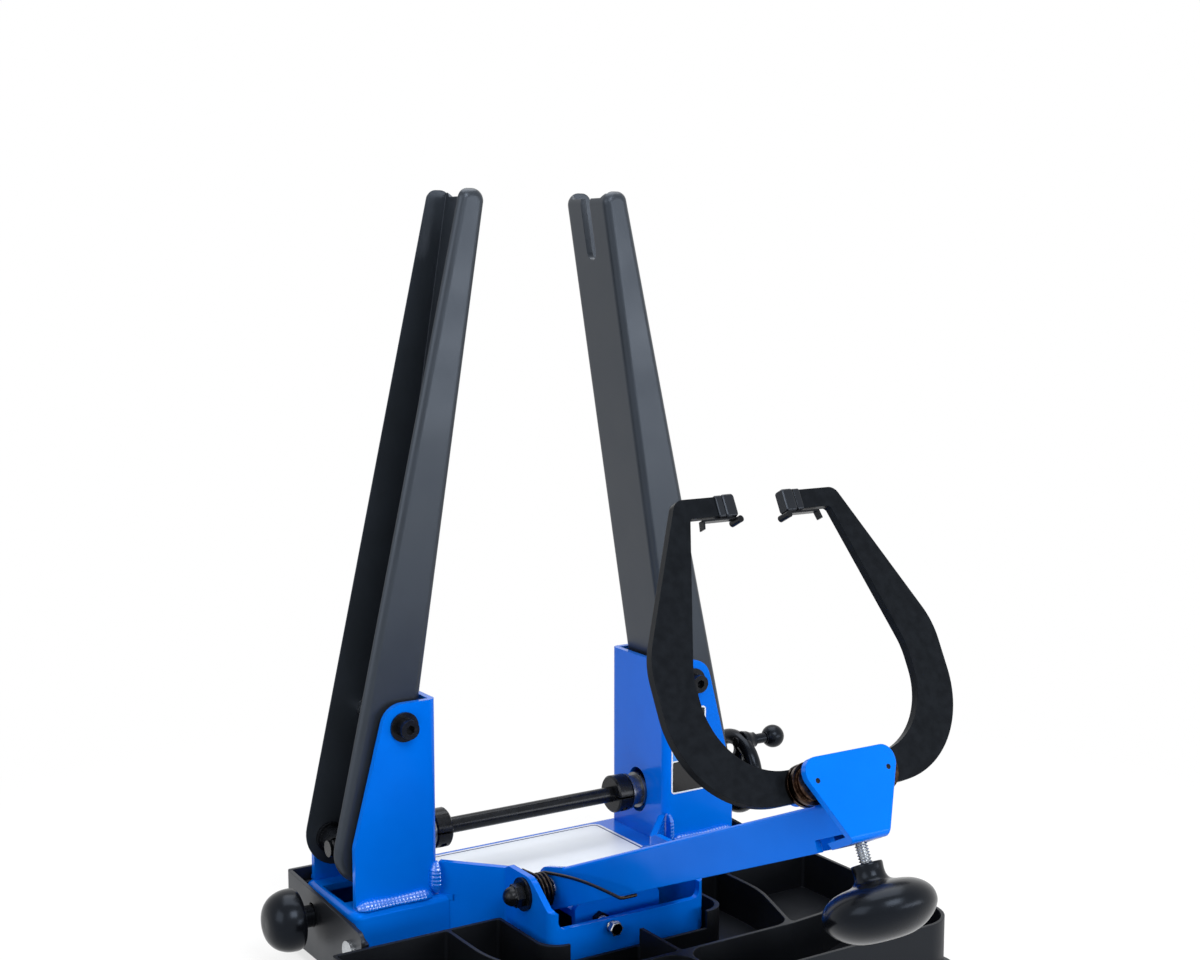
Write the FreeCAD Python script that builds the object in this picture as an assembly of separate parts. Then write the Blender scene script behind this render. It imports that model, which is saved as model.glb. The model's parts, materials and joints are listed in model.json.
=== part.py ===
import FreeCAD, Part
import math
import os

# Wheel truing stand on a tilting bench base, in millimetres.
# X runs across the stand, Y runs away from the mechanic, Z is up.
# The origin is the centre of the four bench bolts, on the bench top.

os.makedirs("parts", exist_ok=True)

Vec = FreeCAD.Vector

# Wheel axle
axle_height = 520.0
axle_y = 100.0
axle_slot_radius = 6.3

# Sheet sizes
frame_sheet = 4.8
frame_bend_radius = 6.0
black_sheet = 3.0
cut_over = 1.0
weld_size = 5.0
round_chords = 8

# Pedestals: X and Y from the axle, rises from the top of the pan
pedestal_web_x = 100.0
pedestal_outer_x = 170.0
pedestal_width = 78.0
pivot_x = 126.4
pivot_rise = 128.4
pivot_eye_radius = 17.0
pedestal_shoulder_drop = 100.0
pivot_bolt_radius = 4.75
pivot_head_radius = 7.0
pivot_head_length = 9.0
pivot_washer_radius = 10.8
pivot_washer_length = 2.0
pivot_nut_radius = 8.2
pivot_nut_length = 9.0
pivot_hex_radius = 3.6
pivot_hex_depth = 5.0
pivot_tube_radius = 7.5
pivot_running_gap = 0.05
pivot_side_gap = 0.3

# Uprights: X and Y from the axle, the foot from the top of the pan
upright_rise = 45.0
upright_foot_rise = 13.0
upright_inner_x = 56.5
upright_inner_slope = 0.16
upright_outer_x = 80.2
upright_outer_slope = 0.227
upright_width = 59.0
upright_top_corner = 8.0
upright_bottom_corner = 26.0
upright_inner_corner = 9.0
upright_web_dip = 5.0

# Spreader screw, its nuts, collars and crank
screw_rise = 35.0
screw_radius = 6.1
screw_left_x = 170.0
screw_past_crank = 7.0
trunnion_x = 157.0
trunnion_radius = 9.2
trunnion_flange_radius = 11.4
trunnion_flange_length = 3.0
trunnion_pin_radius = 5.0
trunnion_screw_gap = 0.9
screw_slot_extra = 6.0
collar_radius = 14.8
collar_length = 13.5
collar_split = 1.6
collar_set_radius = 3.0
collar_set_depth = 2.0
bushing_radius = 11.8
bushing_flange_radius = 14.2
bushing_length = 12.0
bushing_flange_length = 2.0
crank_past_base = 16.0
crank_rim_radius = 28.8
crank_tube_radius = 6.3
crank_hub_radius = 11.5
crank_hub_length = 17.0
crank_spoke_width = 9.0
crank_spoke_length = 6.0
crank_spokes = 3
crank_handle_angle = 110.0
crank_handle_reach = 33.0
crank_stem_radius = 4.2
crank_stem_base_radius = 8.3
crank_ball_radius = 9.5
crank_ball_flat = 1.6
crank_cap_radius = 6.5
crank_cap_length = 4.5

# Blue base pan and its front box
pan_top_z = 55.0
pan_bottom_z = 28.0
pan_half_width = 172.0
pan_back_y = 43.0
pan_front_y = -45.0
pan_bend_radius = 9.0
pan_slot_half_length = 20.0
pan_slot_inner_x = 128.0
pan_slot_outer_x = 166.0
yoke_half_width = 66.0
yoke_back_y = -77.0
yoke_front_y = -142.0
yoke_top_z = 82.0
yoke_wall_top_z = 79.0
yoke_front_corner_z = 64.0
yoke_notch_z = 52.0
yoke_notch_half_width = 60.0
yoke_ear_flat_y = -108.0
panel_half_width = 82.0
panel_back_y = 33.0
panel_thickness = 0.8
panel_corner = 8.0
deck_front_y = -120.0
deck_side_y = -86.0

# Caliper arm
arm_pivot_y = -104.0
arm_pivot_z = 68.0
arm_rise_degrees = 23.5
arm_sheet = 4.0
arm_root_half_width = 45.0
arm_tip_half_width = 14.6
arm_eye_radius = 15.4
arm_top_u = 12.0
arm_bottom_u = -15.4
arm_length = 304.0
arm_overrun = 20.0
arm_web_start = 21.0
arm_web_end = 266.0
arm_notch_start = 281.0
arm_notch_height = 7.6
arm_bolt_radius = 5.0
arm_sleeve_radius = 8.0
arm_head_radius = 8.5
arm_head_length = 6.5
acorn_radius = 8.6
acorn_length = 14.0
acorn_washer_radius = 12.0
acorn_washer_length = 2.2

# Return spring of the arm
spring_wire_radius = 1.2
spring_coil_radius = 11.6
spring_turns = 3
spring_pitch = 3.2
spring_start_x = 46.7
spring_leg_reach = 98.0
spring_leg_drop = 17.1
spring_hook_length = 14.0
spring_tail_length = 16.0
spring_bend_radius = 2.6
spring_step_degrees = 180.0

# Stop tab and its screw
stop_tab_y = -120.0
stop_tab_half_width = 36.0
stop_tab_top_z = 60.0
stop_screw_x = 16.0
stop_screw_z = 46.0
stop_screw_radius = 4.0
stop_screw_front = 24.0
stop_screw_back = 6.0
stop_nut_radius = 6.2
stop_nut_length = 4.0

# Jaw head, in a plane that leans toward the wheel
jaw_lean_degrees = 27.0
jaw_origin_y = -365.0
jaw_origin_z = 202.0
jaw_thickness = 6.0
jaw_pivot_x = 27.0
jaw_pivot_s = 5.0
jaw_pin_radius = 4.0
jaw_rivet_radius = 1.6
jaw_outer_x = 109.5
jaw_inner_x = 82.5
jaw_bottom_s = -3.5
jaw_shoulder_s = 16.0
jaw_waist_s = 91.0
jaw_neck_s = 79.0
jaw_top_s = 187.0
jaw_finger_s = 174.5
jaw_top_x = 62.0
jaw_crook_x = 54.5
jaw_finger_x = 21.0
jaw_outer_radius = 63.0
jaw_inner_radius = 48.0
jaw_waist_radius = 50.0
jaw_tip_corner = 8.0
jaw_crook_corner = 3.0
jaw_eye_x = 17.0
jaw_tail_x = 4.4
jaw_tail_s = -15.0
jaw_tail_width = 4.4
head_half_width = 34.0
head_top_s = 19.0
head_shoulder_s = 7.0
head_foot_half_width = 13.5
head_foot_s = -34.0
head_corner = 9.0
head_plate = 4.5
head_rear_half_width = 34.0
head_rear_top_s = 14.5
head_rear_bottom_s = -5.0
front_plate_gap = 10.5
rear_plate_gap = 1.5
washer_radius = 13.0
washer_count = 4
cam_axis_offset = 6.0
cam_radius = 6.9
cam_cone_length = 9.0
cam_length = 11.0
nut_radius = 8.5
nut_height = 6.0
knob_screw_radius = 4.0
knob_screw_gap = 0.06
knob_neck_radius = 9.7
knob_neck_top = 50.0
knob_radius = 34.3
knob_dish_radius = 15.0
knob_dish_depth = 2.5
knob_middle = 74.0
knob_half_height = 17.2

# Caliper tips: a moulded cap over each finger and a spring clip below it
tip_cap_x = 33.0
tip_end_x = 19.0
tip_cap_wall = 1.2
tip_clip_sheet = 1.2
tip_clip_width = 5.0
tip_clip_outer_x = 44.0
tip_clip_roll = 2.2
tip_clip_hook = 6.0

# Bench base, cradle and tray
cheek_gap_x = 0.6
base_front_step_x = 22.0
base_back_y = 155.0
base_front_y = -166.0
base_plate_bottom_z = 9.0
cheek_top_z = 61.5
cheek_front_z = 53.5
back_wall_top_z = 44.0
cheek_back_y = 51.0
cheek_front_y = -80.0
cheek_corner = 7.0
foot_radius = 17.0
foot_hole_radius = 4.3
foot_inset_x = 31.0
foot_spacing_y = 272.0
cradle_gap_x = 2.4
cradle_floor_z = 25.0
cradle_wall_top_z = 52.0
cradle_back_y = 46.0
cradle_front_y = -78.0
tilt_pivot_y = -62.0
tilt_pivot_z = 36.0
tilt_pin_radius = 5.0
tilt_stud_y = 6.0
tilt_stud_z = 40.0
tilt_stud_radius = 4.0
tilt_slot_radius = 4.6
tilt_down_degrees = 2.0
tilt_up_degrees = 4.5
tilt_knob_radius = 22.5
tilt_knob_length = 24.0
tilt_knob_gap = 12.0
tilt_collar_radius = 8.0
tilt_nut_radius = 7.0
tilt_nut_length = 5.0
tray_sheet = 2.6
tray_inner_x = 74.0
tray_past_base = 2.0
tray_back_y = -84.0
tray_front_y = -262.0
tray_floor_z = 15.0
tray_top_z = 46.0
tray_corner = 16.0
tray_bridge_y = -152.0
tray_bridge_top_z = 33.0
tray_bridge_low_half = 58.0
tray_pocket_x = 118.5
tray_pocket_front_x = 97.0
tray_wall_turn_y = -140.0
tray_divider_y = -203.0
tray_divider_mid_x = 126.0
tray_divider_mid_y = -200.0
tray_divider_end_y = -172.0
tray_wall_radius = 90.0
tray_end_radius = 26.0

# Derived places
pivot_z = pan_top_z + pivot_rise
screw_z = pan_top_z + screw_rise
upright_drop = axle_height - pan_top_z - upright_foot_rise
cradle_half_width = pan_half_width + cradle_gap_x + black_sheet
base_half_width = cradle_half_width + cheek_gap_x + black_sheet
base_front_half_width = base_half_width + base_front_step_x
foot_spacing_x = 2 * (base_half_width - foot_inset_x)
tray_outer_x = base_front_half_width + tray_past_base
crank_plane_x = base_half_width + crank_past_base
screw_right_x = crank_plane_x + screw_past_crank
pedestal_half = pedestal_width / 2
upright_half = upright_width / 2
X = Vec(1, 0, 0)
Y = Vec(0, 1, 0)
Z = Vec(0, 0, 1)
arm_rise = math.radians(arm_rise_degrees)
jaw_lean = math.radians(jaw_lean_degrees)
arm_out = Vec(0, -math.cos(arm_rise), math.sin(arm_rise))
arm_up = Vec(0, math.sin(arm_rise), math.cos(arm_rise))
jaw_out = Vec(0, -math.cos(jaw_lean), math.sin(jaw_lean))
jaw_up = Vec(0, math.sin(jaw_lean), math.cos(jaw_lean))
arm_pivot = Vec(0, axle_y + arm_pivot_y, arm_pivot_z)
jaw_origin = Vec(0, axle_y + jaw_origin_y, jaw_origin_z)


def frame(origin, ex, ey):
    """Placement whose local x and y are ex and ey."""
    ez = ex.cross(ey)
    m = FreeCAD.Matrix(ex.x, ey.x, ez.x, origin.x,
                       ex.y, ey.y, ez.y, origin.y,
                       ex.z, ey.z, ez.z, origin.z,
                       0, 0, 0, 1)
    return FreeCAD.Placement(m)


def plan(z):
    return frame(Vec(0, axle_y, z), X, Y)


def elevation(y):
    """Local x is X, local y is Z, thickness grows toward the mechanic."""
    return frame(Vec(0, axle_y + y, 0), X, Z)


def side(x):
    """Local x is Y, local y is Z, thickness grows toward +X."""
    return frame(Vec(x, axle_y, 0), Y, Z)


def arm_side(x):
    """Local x runs out along the arm, thickness grows toward -X."""
    return frame(arm_pivot + X * x, arm_out, arm_up)


def head(offset):
    """Local x is X, local y runs up the jaws, thickness grows toward the mechanic."""
    return frame(jaw_origin + jaw_out * offset, X, jaw_up)


def rounded(points, radii):
    """Closed wire of straight edges with an arc at each corner that has a radius."""
    pts = [Vec(p[0], p[1], 0) for p in points]
    count = len(pts)
    cuts = []
    for i in range(count):
        before, here, after = pts[i - 1], pts[i], pts[(i + 1) % count]
        a = (before - here).normalize()
        b = (after - here).normalize()
        r = radii[i]
        half = a.getAngle(b) / 2
        if r <= 0 or math.pi / 2 - half < 1e-4:
            cuts.append((here, None, here))
            continue
        run = r / math.tan(half)
        middle = (a + b).normalize()
        centre = here + middle * (r / math.sin(half))
        cuts.append((here + a * run, centre - middle * r, here + b * run))
    edges = []
    for i in range(count):
        start, mid, end = cuts[i]
        if mid is not None:
            edges.append(Part.Arc(start, mid, end).toShape())
        nxt = cuts[(i + 1) % count][0]
        if end.distanceToPoint(nxt) > 1e-5:
            edges.append(Part.LineSegment(end, nxt).toShape())
    return Part.Wire(edges)


def slab(points, radii, thickness, place):
    """Extruded rounded outline in a local frame."""
    if not isinstance(radii, (list, tuple)):
        radii = [radii] * len(points)
    solid = Part.Face(rounded(points, radii)).extrude(Vec(0, 0, thickness))
    solid.Placement = place
    return solid


def box(x0, x1, y0, y1, z0, z1):
    """Box between world X limits, Y limits measured from the axle and Z limits."""
    return Part.makeBox(x1 - x0, y1 - y0, z1 - z0, Vec(x0, axle_y + y0, z0))


def rod(radius, start, direction, length):
    return Part.makeCylinder(radius, length, start, direction)


def cone(r1, r2, start, direction, length):
    return Part.makeCone(r1, r2, length, start, direction)


def hexagon(radius, start, direction, length):
    """Hexagonal prism whose corners lie on the radius."""
    pts = []
    for k in range(6):
        a = math.radians(60 * k + 30)
        pts.append(Vec(radius * math.cos(a), radius * math.sin(a), 0))
    wire = Part.makePolygon(pts + [pts[0]])
    solid = Part.Face(wire).extrude(Vec(0, 0, length))
    other = X if abs(direction.x) < 0.5 else Y
    ex = (other - direction * other.dot(direction)).normalize()
    solid.Placement = frame(start, ex, direction.cross(ex))
    return solid


def revolved(profile, start, direction):
    """Solid of revolution of (radius, distance) points about a line."""
    pts = [Vec(r, 0, d) for r, d in profile]
    wire = Part.makePolygon(pts + [pts[0]])
    solid = Part.Face(wire).revolve(Vec(0, 0, 0), Z, 360)
    other = X if abs(direction.x) < 0.5 else Y
    ex = (other - direction * other.dot(direction)).normalize()
    solid.Placement = frame(start, ex, direction.cross(ex))
    return solid


def round_profile(radius, out, start_degrees, end_degrees):
    """Radius and distance points of a round section, as chords whose ends lie on the circle."""
    points = []
    for k in range(round_chords + 1):
        a = math.radians(start_degrees + (end_degrees - start_degrees) * k / round_chords)
        points.append((out + radius * math.cos(a), radius * math.sin(a)))
    return points


def ball_solid(radius, centre, direction):
    """Ball made of chords, with a small flat at each pole."""
    flat = 90 - 90 / round_chords
    points = round_profile(radius, 0, -flat, flat)
    return revolved([(0, points[0][1])] + points + [(0, points[-1][1])], centre, direction)


def chords(curve):
    """Edges along a curve: a straight one as it is, an arc as a few chords."""
    shape = curve.toShape()
    if isinstance(curve, Part.LineSegment):
        return [shape]
    return Part.makePolygon(shape.discretize(round_chords // 2 + 2)).Edges


def mirrored(shape):
    return shape.mirror(Vec(0, 0, 0), X)


def picked(shape, test):
    """Edges of a shape whose middle passes a test."""
    found = []
    for e in shape.Edges:
        mid = e.valueAt((e.FirstParameter + e.LastParameter) / 2)
        if test(mid, e):
            found.append(e)
    return found


def straight_along(e, direction):
    if not isinstance(e.Curve, Part.Line):
        return False
    return abs(e.Curve.Direction.dot(direction)) > 0.999


parts = {}


def save(name, shape):
    if isinstance(shape, (list, tuple)):
        shape = Part.makeCompound(list(shape))
    shape = shape.removeSplitter() if shape.ShapeType != "Compound" else shape
    parts[name] = shape
    shape.exportStep("parts/" + name + ".step")


# Pedestals
flange_front = -pedestal_half
flange_in = pedestal_half - frame_sheet
slope_run = pedestal_outer_x - pivot_x - pivot_eye_radius
slope_angle = math.atan2(slope_run, pedestal_shoulder_drop)
eye_top = pivot_z + pivot_eye_radius
shoulder_z = pivot_z - pedestal_shoulder_drop + pivot_eye_radius
corner_x = pivot_x + pivot_eye_radius * math.tan(math.pi / 4 - slope_angle / 2)
slope_top_x = corner_x
slope_x = slope_top_x + (eye_top - shoulder_z) * math.tan(slope_angle)
pedestal_outline = [
    (pedestal_web_x, pan_top_z),
    (slope_x, pan_top_z),
    (slope_x, shoulder_z),
    (corner_x, eye_top),
    (pedestal_web_x, eye_top),
]
pedestal = slab(pedestal_outline, [0, 0, pivot_eye_radius, pivot_eye_radius, 0],
                pedestal_width, elevation(pedestal_half))
pedestal = pedestal.makeFillet(frame_bend_radius, picked(
    pedestal, lambda m, e: straight_along(e, Z) and m.x < pedestal_web_x + cut_over))
hollow = box(pedestal_web_x + frame_sheet, pedestal_outer_x + pivot_x, -flange_in, flange_in,
             pan_top_z - cut_over, eye_top + cut_over)
pedestal = pedestal.cut(hollow)
pedestal = pedestal.cut(rod(pivot_bolt_radius + pivot_running_gap,
                            Vec(pivot_x, axle_y - pedestal_width, pivot_z), Y, 2 * pedestal_width))
slot_half = screw_slot_extra + screw_radius
slot_wide = bushing_radius + pivot_side_gap
web_slot = slab([(-slot_wide, screw_z - slot_wide - screw_slot_extra),
                 (slot_wide, screw_z - slot_wide - screw_slot_extra),
                 (slot_wide, screw_z + slot_wide + screw_slot_extra),
                 (-slot_wide, screw_z + slot_wide + screw_slot_extra)],
                slot_wide * 0.999, frame_sheet + 2 * cut_over, side(pedestal_web_x - cut_over))
pedestal = pedestal.cut(web_slot)
save("right_pedestal", pedestal)
save("left_pedestal", mirrored(pedestal))

# Uprights
upright_top = axle_height + upright_rise
upright_bottom = axle_height - upright_drop


def inner_x(drop):
    return upright_inner_x + upright_inner_slope * drop


def outer_x(drop):
    return upright_outer_x + upright_outer_slope * drop


upright_outline = [
    (inner_x(-upright_rise), upright_top),
    (inner_x(upright_drop), upright_bottom),
    (outer_x(upright_drop), upright_bottom),
    (outer_x(-upright_rise), upright_top),
]
upright = slab(upright_outline, [upright_inner_corner, upright_inner_corner,
                                 upright_bottom_corner, upright_top_corner],
               upright_width, elevation(upright_half))
web_line = Vec(inner_x(upright_drop) - inner_x(0), 0, -upright_drop).normalize()
upright = upright.makeFillet(frame_bend_radius, picked(
    upright, lambda m, e: straight_along(e, web_line) and m.x < inner_x(axle_height - m.z) + cut_over))
web_across = frame_sheet / math.cos(math.atan(upright_inner_slope))
inside = upright_half - frame_sheet
far_x = outer_x(upright_drop) + upright_width
hollow = slab([
    (inner_x(-upright_rise) + web_across - upright_inner_slope * frame_sheet, upright_top + frame_sheet),
    (inner_x(upright_drop) + web_across + upright_inner_slope * frame_sheet, upright_bottom - frame_sheet),
    (far_x, upright_bottom - frame_sheet),
    (far_x, upright_top + frame_sheet),
], 0, 2 * inside, elevation(inside))
upright = upright.cut(hollow)
dip = slab([(-inside, upright_top + cut_over), (-inside, upright_top),
            (-inside + upright_web_dip, upright_top - upright_web_dip),
            (inside - upright_web_dip, upright_top - upright_web_dip),
            (inside, upright_top), (inside, upright_top + cut_over)],
           0, outer_x(0), side(0))
upright = upright.cut(dip)
axle_slot = slab([(-axle_slot_radius, axle_height - axle_slot_radius),
                  (axle_slot_radius, axle_height - axle_slot_radius),
                  (axle_slot_radius, upright_top + cut_over),
                  (-axle_slot_radius, upright_top + cut_over)],
                 [axle_slot_radius * 0.999, axle_slot_radius * 0.999, 0, 0],
                 upright_outer_x, side(0))
upright = upright.cut(axle_slot)
rod_pass = slab([(-slot_wide, screw_z - slot_wide - screw_slot_extra),
                 (slot_wide, screw_z - slot_wide - screw_slot_extra),
                 (slot_wide, screw_z + slot_wide + screw_slot_extra),
                 (-slot_wide, screw_z + slot_wide + screw_slot_extra)],
                slot_wide * 0.999, inner_x(upright_drop), side(pedestal_web_x))
rod_pass = rod_pass.common(box(0, inner_x(upright_drop) + web_across + cut_over, -inside, inside,
                               upright_bottom, pivot_z))
upright = upright.cut(rod_pass)
cross_y = axle_y - upright_width
upright = upright.cut(rod(pivot_bolt_radius + pivot_running_gap,
                          Vec(pivot_x, cross_y, pivot_z), Y, 2 * upright_width))
upright = upright.cut(rod(trunnion_pin_radius + pivot_running_gap,
                          Vec(trunnion_x, cross_y, screw_z), Y, 2 * upright_width))
save("right_upright", upright)
save("left_upright", mirrored(upright))

# Spacer tube inside each upright, and spacer washers outside it
tube = rod(pivot_tube_radius, Vec(pivot_x, axle_y - inside, pivot_z), Y, 2 * inside)
tube = tube.cut(rod(pivot_bolt_radius + pivot_running_gap,
                    Vec(pivot_x, cross_y, pivot_z), Y, 2 * upright_width))
save("right_pivot_tube", tube)
save("left_pivot_tube", mirrored(tube))
spacer_length = flange_in - upright_half - pivot_side_gap
spacers = []
for start in (axle_y - flange_in, axle_y + flange_in - spacer_length):
    ring = rod(pivot_washer_radius, Vec(pivot_x, start, pivot_z), Y, spacer_length)
    spacers.append(ring.cut(rod(pivot_bolt_radius, Vec(pivot_x, cross_y, pivot_z), Y,
                                2 * upright_width)))
save("pivot_spacers", spacers + [mirrored(s) for s in spacers])

# Pivot bolts with washers and nuts
head_y = axle_y - pedestal_half - pivot_washer_length - pivot_head_length
bolt = rod(pivot_head_radius, Vec(pivot_x, head_y, pivot_z), Y, pivot_head_length)
bolt = bolt.fuse(rod(pivot_bolt_radius, Vec(pivot_x, head_y + pivot_head_length, pivot_z), Y,
                     pedestal_width + 2 * pivot_washer_length + pivot_nut_length + cut_over))
bolt = bolt.cut(hexagon(pivot_hex_radius, Vec(pivot_x, head_y - cut_over, pivot_z), Y,
                        pivot_hex_depth + cut_over))
washers = []
for start in (axle_y - pedestal_half - pivot_washer_length, axle_y + pedestal_half):
    ring = rod(pivot_washer_radius, Vec(pivot_x, start, pivot_z), Y, pivot_washer_length)
    washers.append(ring.cut(rod(pivot_bolt_radius, Vec(pivot_x, start - cut_over, pivot_z), Y,
                                pivot_washer_length + 2 * cut_over)))
nut_start = axle_y + pedestal_half + pivot_washer_length
nut = hexagon(pivot_nut_radius, Vec(pivot_x, nut_start, pivot_z), Y, pivot_nut_length)
nut = nut.cut(rod(pivot_bolt_radius, Vec(pivot_x, nut_start - cut_over, pivot_z), Y,
                  pivot_nut_length + 2 * cut_over))
save("right_pivot_bolt", bolt)
save("left_pivot_bolt", mirrored(bolt))
save("pivot_washers", washers + [mirrored(w) for w in washers])
save("pivot_nuts", [nut, mirrored(nut)])

# Trunnion nuts that ride on the spreader screw
trunnion = rod(trunnion_radius, Vec(trunnion_x, axle_y - inside + pivot_side_gap, screw_z), Y,
               2 * (inside - pivot_side_gap))
trunnion = trunnion.fuse(rod(trunnion_flange_radius,
                             Vec(trunnion_x, axle_y + inside - pivot_side_gap - trunnion_flange_length,
                                 screw_z), Y, trunnion_flange_length))
trunnion = trunnion.fuse(rod(trunnion_pin_radius, Vec(trunnion_x, axle_y - upright_half, screw_z), Y,
                             upright_width))
trunnion = trunnion.cut(rod(screw_radius + trunnion_screw_gap,
                            Vec(trunnion_x - 2 * trunnion_radius, axle_y, screw_z), X,
                            4 * trunnion_radius))
save("right_trunnion", trunnion)
save("left_trunnion", mirrored(trunnion))

# Thrust bushings that carry the screw in the pedestal webs
bushing_in = pedestal_web_x - bushing_length
bushing = rod(bushing_flange_radius, Vec(bushing_in, axle_y, screw_z), X,
              bushing_length - pivot_side_gap)
groove = rod(bushing_flange_radius + cut_over, Vec(bushing_in + bushing_flange_length, axle_y, screw_z),
             X, bushing_length - 2 * bushing_flange_length - pivot_side_gap)
groove = groove.cut(rod(bushing_radius, Vec(bushing_in, axle_y, screw_z), X, bushing_length))
bushing = bushing.cut(groove)
bushing = bushing.fuse(rod(bushing_radius, Vec(bushing_in + bushing_flange_length, axle_y, screw_z), X,
                           bushing_length - bushing_flange_length + frame_sheet))
bushing = bushing.cut(rod(screw_radius + pivot_running_gap, Vec(0, axle_y, screw_z), X,
                          screw_right_x))
save("right_thrust_bushing", bushing)
save("left_thrust_bushing", mirrored(bushing))

# Spreader screw
chamfer = screw_radius / 5
screw = revolved([(0, 0), (screw_radius - chamfer, 0), (screw_radius, chamfer),
                  (screw_radius, screw_left_x + screw_right_x - chamfer),
                  (screw_radius - chamfer, screw_left_x + screw_right_x),
                  (0, screw_left_x + screw_right_x)],
                 Vec(-screw_left_x, axle_y, screw_z), X)
save("spreader_screw", screw)

# Split clamp collars
collar_start = bushing_in - pivot_side_gap - collar_length
collar = rod(collar_radius, Vec(collar_start, axle_y, screw_z), X, collar_length)
collar = collar.makeChamfer(chamfer, [e for e in collar.Edges if isinstance(e.Curve, Part.Circle)])
collar = collar.cut(rod(screw_radius, Vec(0, axle_y, screw_z), X, screw_right_x))
collar = collar.cut(Part.makeBox(collar_length + 2 * cut_over, collar_radius + cut_over, collar_split,
                                 Vec(collar_start - cut_over, axle_y - collar_radius - cut_over,
                                     screw_z - collar_split / 2)))
set_at = Vec(collar_start + collar_length / 2, axle_y - collar_radius * 0.62,
             screw_z - collar_radius - cut_over)
collar = collar.cut(rod(collar_set_radius, set_at, Z, collar_set_depth + collar_radius / 3))
save("right_collar", collar)
save("left_collar", mirrored(collar))

# Crank wheel with its ball handle
hub_start = crank_plane_x - crank_hub_length / 2
wheel = revolved(round_profile(crank_tube_radius, crank_rim_radius, 0, 360)[:-1],
                 Vec(crank_plane_x, axle_y, screw_z), X)
hub = revolved([(screw_radius, 0), (crank_hub_radius - chamfer, 0), (crank_hub_radius, chamfer),
                (crank_hub_radius, crank_hub_length - chamfer),
                (crank_hub_radius - chamfer, crank_hub_length), (screw_radius, crank_hub_length)],
               Vec(hub_start, axle_y, screw_z), X)
bore = rod(screw_radius, Vec(hub_start - cut_over, axle_y, screw_z), X, crank_hub_length + 2 * cut_over)
wheel = wheel.fuse(hub)
for k in range(crank_spokes):
    turn = math.radians(crank_handle_angle + 360 * k / crank_spokes)
    out = Vec(0, math.cos(turn), math.sin(turn))
    across = X.cross(out)
    spoke = slab([(crank_hub_radius / 2, -crank_spoke_width / 2 - chamfer),
                  (crank_rim_radius, -crank_spoke_width / 2),
                  (crank_rim_radius, crank_spoke_width / 2),
                  (crank_hub_radius / 2, crank_spoke_width / 2 + chamfer)],
                 0, crank_spoke_length,
                 frame(Vec(crank_plane_x - crank_spoke_length / 2, axle_y, screw_z), out, across))
    wheel = wheel.fuse(spoke)
turn = math.radians(crank_handle_angle)
handle_foot = Vec(crank_plane_x, axle_y + crank_rim_radius * math.cos(turn),
                  screw_z + crank_rim_radius * math.sin(turn))
boss_length = crank_tube_radius + crank_ball_flat
wheel = wheel.fuse(cone(crank_stem_base_radius, crank_stem_radius + crank_ball_flat, handle_foot, X,
                        boss_length * 1.6))
wheel = wheel.cut(bore)
stem_hole = rod(crank_stem_radius, handle_foot - X * (crank_tube_radius + cut_over), X,
                crank_handle_reach)
wheel = wheel.cut(stem_hole)
save("crank_wheel", wheel)
ball_centre = handle_foot + X * crank_handle_reach
stem = rod(crank_stem_radius, handle_foot - X * crank_tube_radius, X,
           crank_tube_radius + crank_handle_reach - crank_ball_radius)
stem = stem.fuse(rod(crank_stem_radius - chamfer, handle_foot, X, crank_handle_reach))
save("crank_stem", stem)
ball = ball_solid(crank_ball_radius, ball_centre, X)
cut_face = crank_handle_reach - crank_ball_radius + crank_ball_flat / 2
ball = ball.cut(Part.makeBox(crank_ball_radius, 2 * crank_ball_radius, 2 * crank_ball_radius,
                             handle_foot + Vec(cut_face - crank_ball_radius, -crank_ball_radius,
                                               -crank_ball_radius)))
ball = ball.cut(rod(crank_stem_radius - chamfer + pivot_running_gap, handle_foot, X,
                    crank_handle_reach + pivot_side_gap))
save("crank_ball_knob", ball)
cap_start = Vec(max(hub_start + crank_hub_length, screw_right_x), axle_y, screw_z)
cap = hexagon(crank_cap_radius, cap_start, X, crank_cap_length)
save("crank_cap_screw", cap)

# Base pan: a folded plate with a deck that runs forward into the front box
pan = slab([(-pan_half_width, pan_front_y), (pan_half_width, pan_front_y),
            (pan_half_width, pan_back_y), (-pan_half_width, pan_back_y)],
           pan_bend_radius, pan_top_z - pan_bottom_z, plan(pan_bottom_z))
pan = pan.makeFillet(frame_bend_radius, picked(pan, lambda m, e: abs(m.z - pan_top_z) < 1e-6))
inner = slab([(-pan_half_width + frame_sheet, pan_front_y + frame_sheet),
              (pan_half_width - frame_sheet, pan_front_y + frame_sheet),
              (pan_half_width - frame_sheet, pan_back_y - frame_sheet),
              (-pan_half_width + frame_sheet, pan_back_y - frame_sheet)],
             frame_sheet, pan_top_z - pan_bottom_z - frame_sheet + cut_over,
             plan(pan_bottom_z - cut_over))
pan = pan.cut(inner)
box_inside = yoke_half_width - frame_sheet
tongue = stop_tab_half_width
deck = slab([(-pedestal_web_x, pan_front_y + frame_sheet), (-box_inside, yoke_back_y),
             (-box_inside, deck_side_y), (-tongue, deck_side_y), (-tongue, deck_front_y),
             (tongue, deck_front_y), (tongue, deck_side_y), (box_inside, deck_side_y),
             (box_inside, yoke_back_y), (pedestal_web_x, pan_front_y + frame_sheet)],
            0, frame_sheet, plan(pan_top_z - frame_sheet))
pan = pan.fuse(deck)
for flip in (1, -1):
    x0, x1 = sorted((flip * pan_slot_inner_x, flip * pan_slot_outer_x))
    pan = pan.cut(box(x0, x1, -pan_slot_half_length, pan_slot_half_length,
                      pan_top_z - 2 * frame_sheet, pan_top_z + cut_over))
save("base_pan", pan)

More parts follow.
